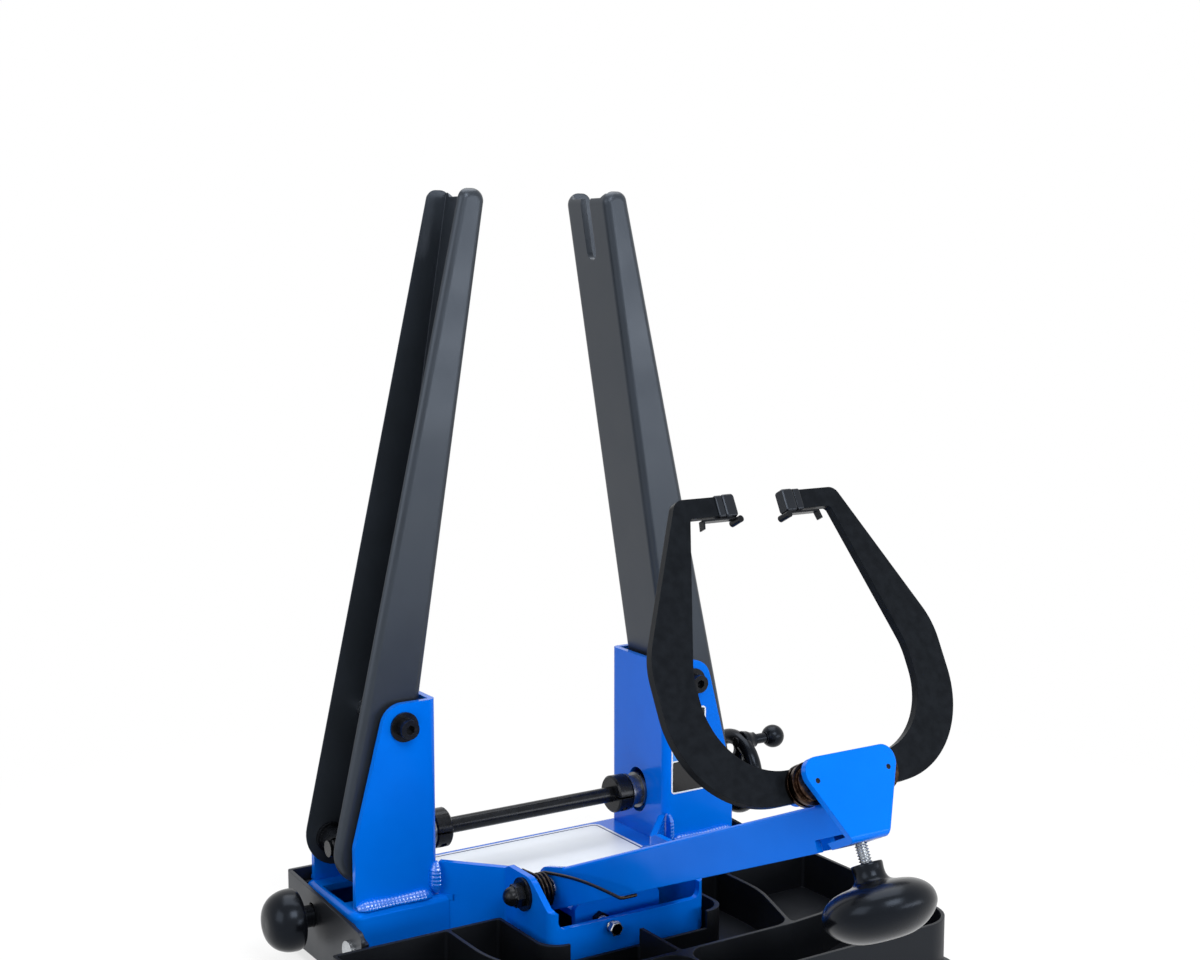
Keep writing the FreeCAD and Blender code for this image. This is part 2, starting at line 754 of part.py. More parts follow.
# Front box: one sheet folded from pedestal to pedestal
low = pan_bottom_z
thick = frame_sheet
diag = Vec(pedestal_web_x - yoke_half_width, flange_front - yoke_back_y, 0).normalize()
shift = Vec(-diag.y, diag.x, 0) * thick
fold_y = yoke_back_y + thick * (1 - diag.x) / diag.y
half_line = [(yoke_half_width, yoke_front_y), (yoke_half_width, yoke_back_y),
             (pedestal_web_x, flange_front), (pedestal_web_x + shift.x, flange_front + shift.y),
             (box_inside, fold_y), (box_inside, yoke_front_y + thick)]
bend_out = frame_bend_radius + thick / 2
bend_in = frame_bend_radius - thick / 2
half_radii = [bend_out, bend_in, 0, 0, bend_out, bend_in]
yoke = slab(half_line + [(-x, y) for x, y in reversed(half_line)], half_radii + half_radii[::-1],
            yoke_top_z - low, plan(low))
profile = slab([
    (flange_in, low - cut_over), (yoke_front_y - thick, low - cut_over),
    (yoke_front_y - thick, yoke_front_corner_z), (yoke_front_y + thick, yoke_front_corner_z),
    (yoke_ear_flat_y - thick, yoke_top_z), (yoke_back_y - thick, yoke_top_z),
    (yoke_back_y, yoke_wall_top_z), (flange_in, yoke_wall_top_z),
], [0, 0, 0, thick, pivot_eye_radius, 0, 0, 0], 2 * (pedestal_web_x + cut_over),
    side(-pedestal_web_x - cut_over))
yoke = yoke.common(profile)
notch = slab([(-yoke_notch_half_width, yoke_notch_z), (yoke_notch_half_width, yoke_notch_z),
              (yoke_notch_half_width, yoke_top_z + cut_over),
              (-yoke_notch_half_width, yoke_top_z + cut_over)],
             [frame_bend_radius, frame_bend_radius, 0, 0], 3 * thick, elevation(yoke_front_y + 2 * thick))
yoke = yoke.cut(notch)
yoke = yoke.cut(rod(arm_bolt_radius, arm_pivot - X * pedestal_web_x, X, 2 * pedestal_web_x))
yoke = yoke.cut(rod(stop_screw_radius + pivot_side_gap,
                    Vec(-stop_screw_x, axle_y + yoke_front_y - thick, stop_screw_z), Y, 3 * thick))
yoke = yoke.cut(box(-pan_half_width, pan_half_width, pan_front_y, pan_back_y, 0, pan_top_z))
yoke = yoke.cut(parts["right_pedestal"]).cut(parts["left_pedestal"]).cut(parts["base_pan"])
save("front_yoke", yoke)

# Weld beads at the feet of the pedestals and up the ends of the front box
beads = []
x_in = pedestal_web_x + frame_bend_radius
run = slope_x - x_in
foot_bead = Part.makeCylinder(weld_size, run, Vec(x_in, axle_y + flange_front, pan_top_z), X)
foot_bead = foot_bead.common(box(x_in, slope_x, flange_front - weld_size, flange_front, pan_top_z,
                                 pan_top_z + weld_size))
foot_bead = foot_bead.cut(parts["right_pedestal"]).cut(parts["base_pan"])
back_bead = foot_bead.mirror(Vec(0, axle_y, 0), Y)
back_bead = back_bead.cut(parts["right_pedestal"]).cut(parts["base_pan"])
climb_bead = rod(weld_size * 0.8, Vec(pedestal_web_x + shift.x / 2, axle_y + flange_front - weld_size / 4,
                                      pan_top_z), Z, yoke_wall_top_z - pan_top_z)
climb_bead = climb_bead.cut(parts["right_pedestal"]).cut(parts["front_yoke"]).cut(parts["base_pan"])
climb_bead = max(climb_bead.Solids, key=lambda b: -b.CenterOfMass.y)
for bead in (foot_bead, back_bead, climb_bead):
    beads += [bead, mirrored(bead)]
save("weld_beads", beads)

# White mat on the deck
panel_inner = box_inside - panel_corner / 2
panel = slab([(-panel_half_width, panel_back_y), (-panel_half_width, flange_front),
              (-panel_inner, yoke_back_y), (-panel_inner, deck_side_y + panel_thickness),
              (panel_inner, deck_side_y + panel_thickness), (panel_inner, yoke_back_y),
              (panel_half_width, flange_front), (panel_half_width, panel_back_y)],
             [panel_corner, panel_corner, panel_corner, 0, 0, panel_corner, panel_corner, panel_corner],
             panel_thickness, plan(pan_top_z))
save("deck_mat", panel)

# Stop tab and screw
tab = box(-stop_tab_half_width, stop_tab_half_width, stop_tab_y - frame_sheet, stop_tab_y,
          pan_bottom_z, stop_tab_top_z)
tab = tab.makeFillet(frame_sheet, picked(tab, lambda m, e: straight_along(e, Y)
                                         and m.z > stop_tab_top_z - 1e-6))
stop_y = axle_y + stop_tab_y
tab = tab.cut(rod(stop_screw_radius, Vec(-stop_screw_x, stop_y - 2 * frame_sheet, stop_screw_z), Y,
                  3 * frame_sheet))
save("stop_tab", tab)
stop = rod(stop_screw_radius, Vec(-stop_screw_x, stop_y - frame_sheet - stop_screw_front,
                                  stop_screw_z), Y,
           stop_screw_front + frame_sheet + stop_screw_back)
stop = stop.makeChamfer(chamfer, [e for e in stop.Edges if isinstance(e.Curve, Part.Circle)])
stop = stop.fuse(hexagon(stop_nut_radius, Vec(-stop_screw_x, stop_y - frame_sheet - stop_screw_front,
                                              stop_screw_z), Y, stop_nut_length))
lock = hexagon(stop_nut_radius, Vec(-stop_screw_x, stop_y - frame_sheet - stop_nut_length,
                                    stop_screw_z), Y, stop_nut_length)
lock = lock.cut(rod(stop_screw_radius, Vec(-stop_screw_x, stop_y - 3 * frame_sheet, stop_screw_z), Y,
                    4 * frame_sheet))
save("stop_screw", stop)
save("stop_nut", lock)

# Caliper arm: a tapering channel, open below
narrow = (arm_root_half_width - arm_tip_half_width) / arm_length


def arm_plan(a0, a1, inset, u0, u1):
    """Tapered block in the arm's plan between two heights."""
    pts = [(a0, arm_root_half_width - narrow * max(a0, 0) - inset),
           (a1, arm_root_half_width - narrow * a1 - inset)]
    pts = pts + [(a1, -pts[1][1]), (a0, -pts[0][1])]
    face = Part.Face(Part.makePolygon([Vec(x, y, 0) for x, y in pts + [pts[0]]]))
    solid = face.extrude(Vec(0, 0, u1 - u0))
    solid.Placement = frame(arm_pivot + arm_up * u0, arm_out, X)
    return solid


back_a = -arm_eye_radius
far_a = arm_length + arm_overrun
over_u = arm_eye_radius + cut_over
arm = arm_plan(0, far_a, 0, arm_bottom_u, arm_top_u)
arm = arm.makeFillet(arm_sheet * 0.75, picked(
    arm, lambda m, e: e.Length > arm_length and abs((m - arm_pivot).dot(arm_up) - arm_top_u) < 1e-4))
arm = arm.fuse(arm_plan(0, arm_web_start, 0, arm_bottom_u, arm_eye_radius))
arm = arm.fuse(arm_plan(back_a, 0, 0, arm_bottom_u, arm_eye_radius))
arm = arm.cut(arm_plan(-cut_over, far_a + cut_over, arm_sheet, -over_u, arm_top_u - arm_sheet))
arm = arm.cut(arm_plan(back_a - cut_over, 0, arm_sheet, -over_u, over_u))
arm = arm.cut(arm_plan(0, arm_web_start, arm_sheet, -over_u, over_u))
arm = arm.cut(arm_plan(arm_web_end, far_a + cut_over, arm_sheet, -over_u, over_u))
notch_u = arm_bottom_u + arm_notch_height
silhouette = slab([(back_a, arm_bottom_u), (arm_notch_start, arm_bottom_u),
                   (arm_notch_start, notch_u), (far_a, notch_u),
                   (far_a, arm_top_u), (arm_web_start, arm_top_u), (0, arm_eye_radius),
                   (back_a, arm_eye_radius)],
                  [arm_eye_radius * 0.99, 0, 0, 0, 0, 0, 0, arm_eye_radius * 0.99],
                  2 * arm_root_half_width + 2 * cut_over,
                  arm_side(arm_root_half_width + cut_over))
arm = arm.common(silhouette)
plate_in = jaw_thickness / 2 + front_plate_gap
arm = arm.cut(slab([(-pedestal_web_x, -pedestal_web_x), (pedestal_web_x, -pedestal_web_x),
                    (pedestal_web_x, pedestal_web_x), (-pedestal_web_x, pedestal_web_x)], 0,
                   pedestal_web_x, head(plate_in)))
arm = arm.cut(rod(arm_sleeve_radius, arm_pivot - X * pedestal_web_x, X, 2 * pedestal_web_x))
save("caliper_arm", arm)
sleeve = rod(arm_sleeve_radius, arm_pivot - X * arm_root_half_width, X, 2 * arm_root_half_width)
sleeve = sleeve.cut(rod(arm_bolt_radius + pivot_running_gap, arm_pivot - X * pedestal_web_x, X,
                        2 * pedestal_web_x))
save("arm_sleeve", sleeve)

# Arm pivot bolt, its side spacers and acorn nut
ear_out = yoke_half_width
bolt = rod(arm_bolt_radius, arm_pivot - X * (ear_out + acorn_washer_length + acorn_length / 2), X,
           2 * ear_out + acorn_washer_length + acorn_length / 2)
bolt = bolt.fuse(rod(arm_head_radius, arm_pivot + X * ear_out, X, arm_head_length))
bolt = bolt.cut(hexagon(pivot_hex_radius, arm_pivot + X * (ear_out + arm_head_length + cut_over), -X,
                        pivot_hex_depth))
save("arm_pivot_bolt", bolt)
acorn = hexagon(acorn_radius, arm_pivot - X * (ear_out + acorn_washer_length), -X, acorn_length / 2)
dome_at = arm_pivot - X * (ear_out + acorn_washer_length + acorn_length / 2)
acorn = acorn.fuse(ball_solid(acorn_radius * 0.82, dome_at, -X))
acorn = acorn.cut(rod(arm_bolt_radius, arm_pivot - X * (ear_out + acorn_washer_length
                                                       + acorn_length / 2), X, acorn_length))
save("acorn_nut", acorn)
ring = rod(acorn_washer_radius, arm_pivot - X * (ear_out + acorn_washer_length), X,
           acorn_washer_length)
save("acorn_washer", ring.cut(rod(arm_bolt_radius, arm_pivot - X * pedestal_web_x, X,
                                  2 * pedestal_web_x)))
gap_x = ear_out - frame_sheet - arm_root_half_width
spacer = rod(arm_sleeve_radius, arm_pivot + X * (arm_root_half_width + pivot_side_gap), X,
             gap_x - pivot_side_gap)
spacer = spacer.cut(rod(arm_bolt_radius, arm_pivot - X * pedestal_web_x, X, 2 * pedestal_web_x))
save("arm_spacers", [spacer, mirrored(spacer)])


# Return spring: one tube along a leg, three turns and a short tail
def arm_point(x, a, u):
    return arm_pivot + X * x + arm_out * a + arm_up * u


def biarc(p0, t0, p1, t1):
    """Two arcs that join two points with given directions."""
    v = p1 - p0
    t = t0 + t1
    k = 2 * (1 - t0.dot(t1))
    vt = v.dot(t)
    if k < 1e-9:
        d = v.dot(v) / (2 * vt)
    else:
        d = (-vt + math.sqrt(vt * vt + k * v.dot(v))) / k
    joint = (p0 + t0 * d + p1 - t1 * d) * 0.5
    return [arc_from(p0, t0, joint), arc_to(joint, p1, t1)]


def arc_from(p, t, q):
    chord = q - p
    angle = t.getAngle(chord)
    if angle < 1e-6:
        return Part.LineSegment(p, q).toShape()
    lift = t - chord * (t.dot(chord) / chord.dot(chord))
    mid = (p + q) * 0.5 + lift.normalize() * (chord.Length / 2 * math.tan(angle / 2))
    return Part.Arc(p, mid, q).toShape()


def arc_to(p, q, t):
    return Part.Arc(p, arc_mid(p, q, t), q).toShape() if t.getAngle(q - p) > 1e-6 \
        else Part.LineSegment(p, q).toShape()


def arc_mid(p, q, t):
    chord = q - p
    angle = t.getAngle(chord)
    lift = t - chord * (t.dot(chord) / chord.dot(chord))
    return (p + q) * 0.5 - lift.normalize() * (chord.Length / 2 * math.tan(angle / 2))


leg_span = math.hypot(spring_leg_reach, spring_leg_drop)
leg_dip = math.atan2(spring_leg_drop, spring_leg_reach) + math.asin(spring_coil_radius / leg_span)
leave = math.pi / 2 - leg_dip
climb = spring_pitch / (2 * math.pi)


def coil_point(turn):
    """Point of the coil, turn in radians counted back from where the leg leaves."""
    a = leave + turn
    return arm_point(-(spring_start_x + climb * turn), spring_coil_radius * math.cos(a),
                     spring_coil_radius * math.sin(a))


def coil_direction(turn):
    a = leave + turn
    d = arm_out * (-spring_coil_radius * math.sin(a)) + arm_up * (spring_coil_radius * math.cos(a))
    return (d - X * climb).normalize()


hook = arm_point(-spring_start_x, spring_leg_reach, -spring_leg_drop)
leg_start = coil_point(0)
leg_way = (hook - leg_start).normalize()
bend_in_at = hook - leg_way * spring_bend_radius
bend_out_at = hook + X * spring_bend_radius
bend_centre = bend_in_at + X * spring_bend_radius
bend_mid = bend_centre + (leg_way - X).normalize() * spring_bend_radius
path = [Part.LineSegment(bend_out_at + X * spring_hook_length, bend_out_at).toShape(),
        Part.Arc(bend_out_at, bend_mid, bend_in_at).toShape()]
entry = leg_start + (hook - leg_start) * (spring_wire_radius / leg_span)
path.append(Part.LineSegment(bend_in_at, entry).toShape())
lead_turn = math.radians(spring_step_degrees)
path += biarc(entry, leg_way * -1, coil_point(lead_turn), coil_direction(lead_turn))
steps = int(round(spring_turns * 360 / spring_step_degrees))
for k in range(1, steps):
    t0 = lead_turn * k
    t1 = lead_turn * (k + 1)
    path += biarc(coil_point(t0), coil_direction(t0), coil_point(t1), coil_direction(t1))
last = coil_point(lead_turn * steps)
tail_way = coil_direction(lead_turn * steps)
tail_end = last + tail_way * spring_tail_length
path.append(Part.LineSegment(last, tail_end).toShape())
spine = Part.Wire(path)
start_point = bend_out_at + X * spring_hook_length
ring = [start_point + Y * r + Z * z for r, z in round_profile(spring_wire_radius, 0, 0, 360)]
ring[-1] = ring[0]
wire_area = round_chords / 2 * spring_wire_radius ** 2 * math.sin(2 * math.pi / round_chords)
pipe = Part.BRepOffsetAPI.MakePipeShell(spine)
pipe.add(Part.makePolygon(ring))
pipe.build()
pipe.makeSolid()
spring = pipe.shape()
if spring.Volume < 0:
    spring.reverse()
points = spine.discretize(400)
apart = int(spring_coil_radius * math.pi / 2 / (spine.Length / len(points)))
least = min((points[i] - points[j]).Length for i in range(len(points))
            for j in range(i + apart, len(points))) - 2 * spring_wire_radius
print("spring valid", spring.isValid(), "volume", round(spring.Volume, 1), "wire volume",
      round(spine.Length * wire_area, 1), "least gap", round(least, 2))
save("arm_spring", spring)

# Jaw head: front plate, foot and rear plate folded from one sheet
rear_start = -jaw_thickness / 2 - rear_plate_gap - head_plate
plate_outline = [(-head_half_width, head_top_s), (head_half_width, head_top_s),
                 (head_half_width, head_shoulder_s), (head_foot_half_width, head_foot_s),
                 (-head_foot_half_width, head_foot_s), (-head_half_width, head_shoulder_s)]
front_out = plate_in + head_plate
rear_in = rear_start + head_plate
fold = head_plate * 0.9
folded = slab([(rear_start, head_top_s), (rear_start, head_foot_s), (front_out, head_foot_s),
               (front_out, head_top_s), (plate_in, head_top_s), (plate_in, head_foot_s + head_plate),
               (rear_in, head_foot_s + head_plate), (rear_in, head_top_s)],
              [0, fold, fold, 0, 0, 0, 0, 0], 2 * head_half_width,
              frame(jaw_origin + X * head_half_width, jaw_out, jaw_up))
front = slab(plate_outline, [head_corner, head_corner, head_corner, 0, 0, head_corner],
             front_out - rear_in, head(rear_in))
tongue_half = head_foot_half_width - arm_sheet
rear = slab([(-head_rear_half_width, head_rear_top_s), (head_rear_half_width, head_rear_top_s),
             (head_rear_half_width, head_rear_bottom_s), (tongue_half, head_rear_bottom_s),
             (tongue_half, head_foot_s), (-tongue_half, head_foot_s),
             (-tongue_half, head_rear_bottom_s), (-head_rear_half_width, head_rear_bottom_s)],
            [head_corner, head_corner, head_corner, 0, 0, 0, 0, head_corner], head_plate,
            head(rear_start))
bracket = folded.common(front).fuse(folded.common(rear))
cam_line = jaw_origin + jaw_out * cam_axis_offset
thread_hole = rod(knob_screw_radius + knob_screw_gap, cam_line - jaw_up * knob_middle, jaw_up,
                  knob_middle)
pin_line = []
for flip in (1, -1):
    at = jaw_origin + X * (flip * jaw_pivot_x) + jaw_up * jaw_pivot_s
    pin_line.append(at)
    bracket = bracket.cut(rod(jaw_pin_radius, at - jaw_out * head_half_width, jaw_out,
                              head_half_width + plate_in))
    bracket = bracket.cut(rod(jaw_rivet_radius, at, jaw_out, head_half_width))
bracket = bracket.cut(thread_hole)
save("head_bracket", bracket)
nut_low = head_foot_s + head_plate
nut = hexagon(nut_radius, cam_line + jaw_up * nut_low, jaw_up, nut_height)
save("head_nut", nut.cut(thread_hole).cut(bracket))

# Jaws: a swept blade with a finger at the top and a short tail for the cam
jaw_points = [
    (jaw_eye_x, jaw_bottom_s), (jaw_outer_x, jaw_bottom_s), (jaw_outer_x, jaw_waist_s),
    (jaw_top_x, jaw_top_s), (jaw_finger_x, jaw_top_s), (jaw_finger_x, jaw_finger_s),
    (jaw_crook_x, jaw_finger_s), (jaw_inner_x, jaw_neck_s), (jaw_inner_x, jaw_shoulder_s),
    (jaw_eye_x, jaw_shoulder_s),
]
eye = jaw_shoulder_s - jaw_bottom_s
jaw_radii = [0, jaw_outer_radius, jaw_waist_radius, jaw_tip_corner, 0, 0, jaw_crook_corner,
             jaw_waist_radius, jaw_inner_radius, eye * 0.49]
jaw = slab(jaw_points, jaw_radii, jaw_thickness, head(-jaw_thickness / 2))
lever = slab([(jaw_tail_x, jaw_tail_s), (jaw_tail_x + jaw_tail_width, jaw_tail_s),
              (jaw_tail_x + jaw_tail_width, jaw_bottom_s), (jaw_eye_x + eye / 2, jaw_bottom_s),
              (jaw_eye_x + eye / 2, jaw_pivot_s), (jaw_tail_x, jaw_pivot_s)],
             [jaw_tail_width * 0.45, jaw_tail_width * 0.45, jaw_tail_width * 0.5, 0, 0,
              jaw_tail_width], jaw_thickness, head(-jaw_thickness / 2))
jaw = jaw.fuse(lever).removeSplitter()
jaw = jaw.cut(rod(jaw_pin_radius + pivot_running_gap, pin_line[0] - jaw_out * head_half_width,
                  jaw_out, 2 * head_half_width))
save("right_jaw", jaw)
save("left_jaw", mirrored(jaw))

# Jaw pins and the stacks of spring washers in front of the jaws
pins = []
stacks = []
washer_step = (front_plate_gap - pivot_side_gap) / washer_count
for at in pin_line:
    pin = rod(jaw_pin_radius, at + jaw_out * rear_start, jaw_out, plate_in - rear_start)
    pins.append(pin.fuse(rod(jaw_rivet_radius, at, jaw_out, plate_in + head_plate)))
    for k in range(washer_count):
        start = at + jaw_out * (jaw_thickness / 2 + pivot_side_gap + washer_step * k)
        ring = rod(washer_radius - (k % 2) * washer_step, start, jaw_out, washer_step)
        stacks.append(ring.cut(rod(jaw_pin_radius, at - jaw_out * head_half_width, jaw_out,
                                   2 * head_half_width)))
save("jaw_pins", pins)
stack = stacks[0]
for ring in stacks[1:washer_count]:
    stack = stack.fuse(ring)
save("spring_washers", [stack, mirrored(stack)])

# Cam cone, its screw and the big knob
cam_touch = math.hypot(jaw_tail_x, cam_axis_offset - jaw_thickness / 2) - pivot_side_gap
cam_base = jaw_tail_s - cam_length + cam_cone_length * (1 - (cam_radius - cam_touch) / (cam_radius * 0.75))
cam = revolved([(0, 0), (cam_radius, 0), (cam_radius, cam_length - cam_cone_length),
                (cam_radius / 4, cam_length), (0, cam_length)],
               cam_line + jaw_up * cam_base, jaw_up)
save("jaw_cam", cam)
shank = rod(knob_screw_radius, cam_line - jaw_up * (knob_middle + knob_half_height / 2), jaw_up,
            knob_middle + knob_half_height / 2 + cam_base)
save("caliper_screw", shank)
rim_low = -knob_middle - knob_half_height
rim_high = -knob_middle + knob_half_height
rim = -knob_middle
bulge = math.sqrt(0.5)
edges = [
    Part.Arc(Vec(knob_dish_radius, 0, rim_high - knob_dish_depth / 2),
             Vec(knob_radius * bulge, 0, rim + knob_half_height * 0.80),
             Vec(knob_radius, 0, rim)),
    Part.Arc(Vec(knob_radius, 0, rim),
             Vec(knob_radius * bulge, 0, rim - knob_half_height * 0.86),
             Vec(knob_screw_radius, 0, rim_low)),
    Part.LineSegment(Vec(knob_screw_radius, 0, rim_low), Vec(0, 0, rim_low)),
    Part.LineSegment(Vec(0, 0, rim_low), Vec(0, 0, rim - knob_half_height / 2)),
    Part.LineSegment(Vec(0, 0, rim - knob_half_height / 2),
                     Vec(knob_screw_radius, 0, rim - knob_half_height / 2)),
    Part.LineSegment(Vec(knob_screw_radius, 0, rim - knob_half_height / 2),
                     Vec(knob_screw_radius, 0, -knob_neck_top)),
    Part.LineSegment(Vec(knob_screw_radius, 0, -knob_neck_top),
                     Vec(knob_neck_radius - chamfer / 2, 0, -knob_neck_top)),
    Part.LineSegment(Vec(knob_neck_radius - chamfer / 2, 0, -knob_neck_top),
                     Vec(knob_neck_radius, 0, -knob_neck_top - chamfer / 2)),
    Part.LineSegment(Vec(knob_neck_radius, 0, -knob_neck_top - chamfer / 2),
                     Vec(knob_neck_radius, 0, rim_high - knob_dish_depth)),
    Part.LineSegment(Vec(knob_neck_radius, 0, rim_high - knob_dish_depth),
                     Vec(knob_dish_radius, 0, rim_high - knob_dish_depth / 2)),
]
knob = Part.Face(Part.Wire([c for e in edges for c in chords(e)])).revolve(Vec(0, 0, 0), Z, 360)
knob.Placement = frame(cam_line, X, -jaw_out)
save("caliper_knob", knob)

# Caliper tips: a moulded cap over each finger and a spring clip below it
finger_height = jaw_top_s - jaw_finger_s
cap = slab([(tip_end_x, jaw_finger_s - tip_cap_wall), (tip_cap_x, jaw_finger_s - tip_cap_wall),
            (tip_cap_x, jaw_top_s + tip_cap_wall), (tip_end_x, jaw_top_s + tip_cap_wall)],
           [tip_clip_roll, 0, 0, tip_clip_roll], jaw_thickness + 2 * tip_cap_wall,
           head(-jaw_thickness / 2 - tip_cap_wall))
cap = cap.cut(jaw)
save("right_tip", cap)
save("left_tip", mirrored(cap))
clip_top = jaw_finger_s - tip_cap_wall
clip = slab([(tip_end_x, clip_top - tip_clip_sheet), (tip_clip_outer_x, clip_top - tip_clip_sheet),
             (tip_clip_outer_x + tip_clip_sheet, clip_top - tip_clip_hook),
             (tip_clip_outer_x + 2 * tip_clip_sheet, clip_top - tip_clip_hook),
             (tip_clip_outer_x + tip_clip_sheet, clip_top), (tip_end_x, clip_top)],
            0, tip_clip_width, head(-tip_clip_width / 2))
roll = rod(tip_clip_roll, jaw_origin + X * tip_end_x + jaw_up * (clip_top - tip_clip_roll)
           - jaw_out * tip_clip_width, jaw_out, 2 * tip_clip_width)
clip = clip.fuse(roll)
save("right_tip_clip", clip)
save("left_tip_clip", mirrored(clip))

# Cradle that tilts under the stand
cradle = box(-cradle_half_width, cradle_half_width, cradle_front_y, cradle_back_y,
             cradle_floor_z, cradle_wall_top_z)
cradle = cradle.makeFillet(black_sheet, picked(cradle, lambda m, e: straight_along(e, Y)
                                               and m.z < cradle_floor_z + 1e-6))
cradle = cradle.cut(box(-cradle_half_width + black_sheet, cradle_half_width - black_sheet,
                        cradle_front_y - cut_over, cradle_back_y - black_sheet,
                        cradle_floor_z + black_sheet, cradle_wall_top_z + cut_over))
ear = cradle_wall_top_z - cradle_floor_z
front_cut = slab([(cradle_front_y - cut_over, cradle_wall_top_z + cut_over),
                  (cradle_front_y - cut_over, cradle_wall_top_z - ear / 4),
                  (cradle_front_y + ear, cradle_wall_top_z + cut_over)], 0,
                 2 * pan_half_width + 2 * frame_sheet + ear, side(-pan_half_width - ear))
cradle = cradle.cut(front_cut)
cradle_in = cradle_half_width - black_sheet
tilt_y = axle_y + tilt_pivot_y
stud_y = axle_y + tilt_stud_y
for flip in (1, -1):
    cradle = cradle.cut(rod(tilt_pin_radius + pivot_running_gap,
                            Vec(flip * cradle_half_width - 2 * black_sheet, tilt_y, tilt_pivot_z), X,
                            4 * black_sheet))
    cradle = cradle.cut(rod(tilt_stud_radius, Vec(flip * cradle_half_width - 2 * black_sheet,
                                                  stud_y, tilt_stud_z), X, 4 * black_sheet))
save("tilt_cradle", cradle)

# Bench base with slotted cheeks and a rear wall
plate = slab([(-base_front_half_width, base_front_y - axle_y),
              (base_front_half_width, base_front_y - axle_y),
              (base_front_half_width, tray_back_y), (base_half_width, tray_back_y),
              (base_half_width, base_back_y - axle_y), (-base_half_width, base_back_y - axle_y),
              (-base_half_width, tray_back_y), (-base_front_half_width, tray_back_y)],
             [tray_corner, tray_corner, cheek_corner, 0, tray_corner, tray_corner, 0, cheek_corner],
             black_sheet, plan(base_plate_bottom_z))
cheek_out = base_half_width
cheek_in = base_half_width - black_sheet
cheek_low = base_plate_bottom_z + black_sheet
cheek = slab([(cheek_front_y, cheek_low), (cheek_back_y, cheek_low), (cheek_back_y, cheek_top_z),
              (cheek_front_y, cheek_front_z)],
             [0, 0, 0, cheek_corner], black_sheet, side(cheek_in))
swing = tilt_stud_y - tilt_pivot_y
rise = tilt_stud_z - tilt_pivot_z
reach = math.hypot(swing, rise)
rest_angle = math.atan2(rise, swing)
low_angle = rest_angle - math.radians(tilt_down_degrees)
high_angle = rest_angle + math.radians(tilt_up_degrees)
arc_slot = []
for radius, angle in ((reach - tilt_slot_radius, low_angle), (reach + tilt_slot_radius, low_angle),
                      (reach + tilt_slot_radius, high_angle), (reach - tilt_slot_radius, high_angle)):
    arc_slot.append((tilt_pivot_y + radius * math.cos(angle), tilt_pivot_z + radius * math.sin(angle)))
slot_depth = black_sheet + 2 * cut_over
cheek = cheek.cut(slab(arc_slot, 0, slot_depth, side(cheek_in - cut_over)))
for angle in (low_angle, high_angle):
    end = Vec(cheek_in - cut_over, tilt_y + reach * math.cos(angle),
              tilt_pivot_z + reach * math.sin(angle))
    cheek = cheek.cut(rod(tilt_slot_radius, end, X, slot_depth))
cheek = cheek.cut(rod(tilt_pin_radius, Vec(cheek_in - cut_over, tilt_y, tilt_pivot_z), X, slot_depth))
back_wall = box(-cheek_out, cheek_out, cheek_back_y - black_sheet, cheek_back_y, cheek_low,
                back_wall_top_z)
plate = plate.fuse(cheek).fuse(mirrored(cheek)).fuse(back_wall).removeSplitter()
plate = plate.makeFillet(black_sheet * 0.9, picked(
    plate, lambda m, e: straight_along(e, Z) and abs(m.x) > cheek_out - 1e-6
    and m.y > axle_y + cheek_back_y - 1e-6 and m.z > cheek_low))
feet = []
for fx in (-foot_spacing_x / 2, foot_spacing_x / 2):
    for fy in (-foot_spacing_y / 2, foot_spacing_y / 2):
        plate = plate.cut(rod(foot_hole_radius, Vec(fx, fy, 0), Z, cheek_low + cut_over))
        foot = cone(foot_radius, foot_radius - foot_hole_radius / 2, Vec(fx, fy, 0), Z,
                    base_plate_bottom_z)
        feet.append(foot.cut(rod(foot_hole_radius, Vec(fx, fy, -cut_over), Z,
                                 base_plate_bottom_z + 2 * cut_over)))
save("bench_base", plate)
save("rubber_feet", feet)

# Tilt pivots, clamp stud, clamp knob and the plain bolt on the other side
pin = rod(tilt_pin_radius, Vec(cradle_in, tilt_y, tilt_pivot_z), X, cheek_out - cradle_in)
pin = pin.fuse(rod(tilt_collar_radius, Vec(cheek_out, tilt_y, tilt_pivot_z), X, black_sheet))
save("tilt_pivot_pins", [pin, mirrored(pin)])
knob_start = cheek_out + tilt_knob_gap
stud = rod(tilt_stud_radius, Vec(cradle_in, stud_y, tilt_stud_z), X,
           knob_start + tilt_knob_length / 2 - cradle_in)
save("left_tilt_stud", mirrored(stud))
waist = tilt_knob_length / 4
crown = tilt_knob_radius / 3
dome = Part.Arc(Vec(tilt_knob_radius, 0, waist), Vec(tilt_knob_radius * 0.84, 0, tilt_knob_length * 0.78),
                Vec(crown, 0, tilt_knob_length))
throat_radius = tilt_stud_radius + pivot_running_gap
throat_end = tilt_knob_length / 2 + pivot_side_gap
collar_end = pivot_side_gap - tilt_knob_gap
throat = [Vec(crown, 0, tilt_knob_length), Vec(0, 0, tilt_knob_length), Vec(0, 0, throat_end),
          Vec(throat_radius, 0, throat_end),
          Vec(throat_radius, 0, collar_end), Vec(tilt_collar_radius, 0, collar_end),
          Vec(tilt_collar_radius, 0, 0),
          Vec(tilt_knob_radius - chamfer, 0, 0), Vec(tilt_knob_radius, 0, waist)]
grip = Part.Face(Part.Wire(chords(dome) + Part.makePolygon(throat).Edges)).revolve(Vec(0, 0, 0), Z, 360)
grip.Placement = frame(Vec(knob_start, stud_y, tilt_stud_z), Y, Z)
save("left_tilt_knob", mirrored(grip))
plain = rod(tilt_stud_radius, Vec(cradle_in, stud_y, tilt_stud_z), X,
            cheek_out + pivot_side_gap - cradle_in + tilt_nut_length / 2)
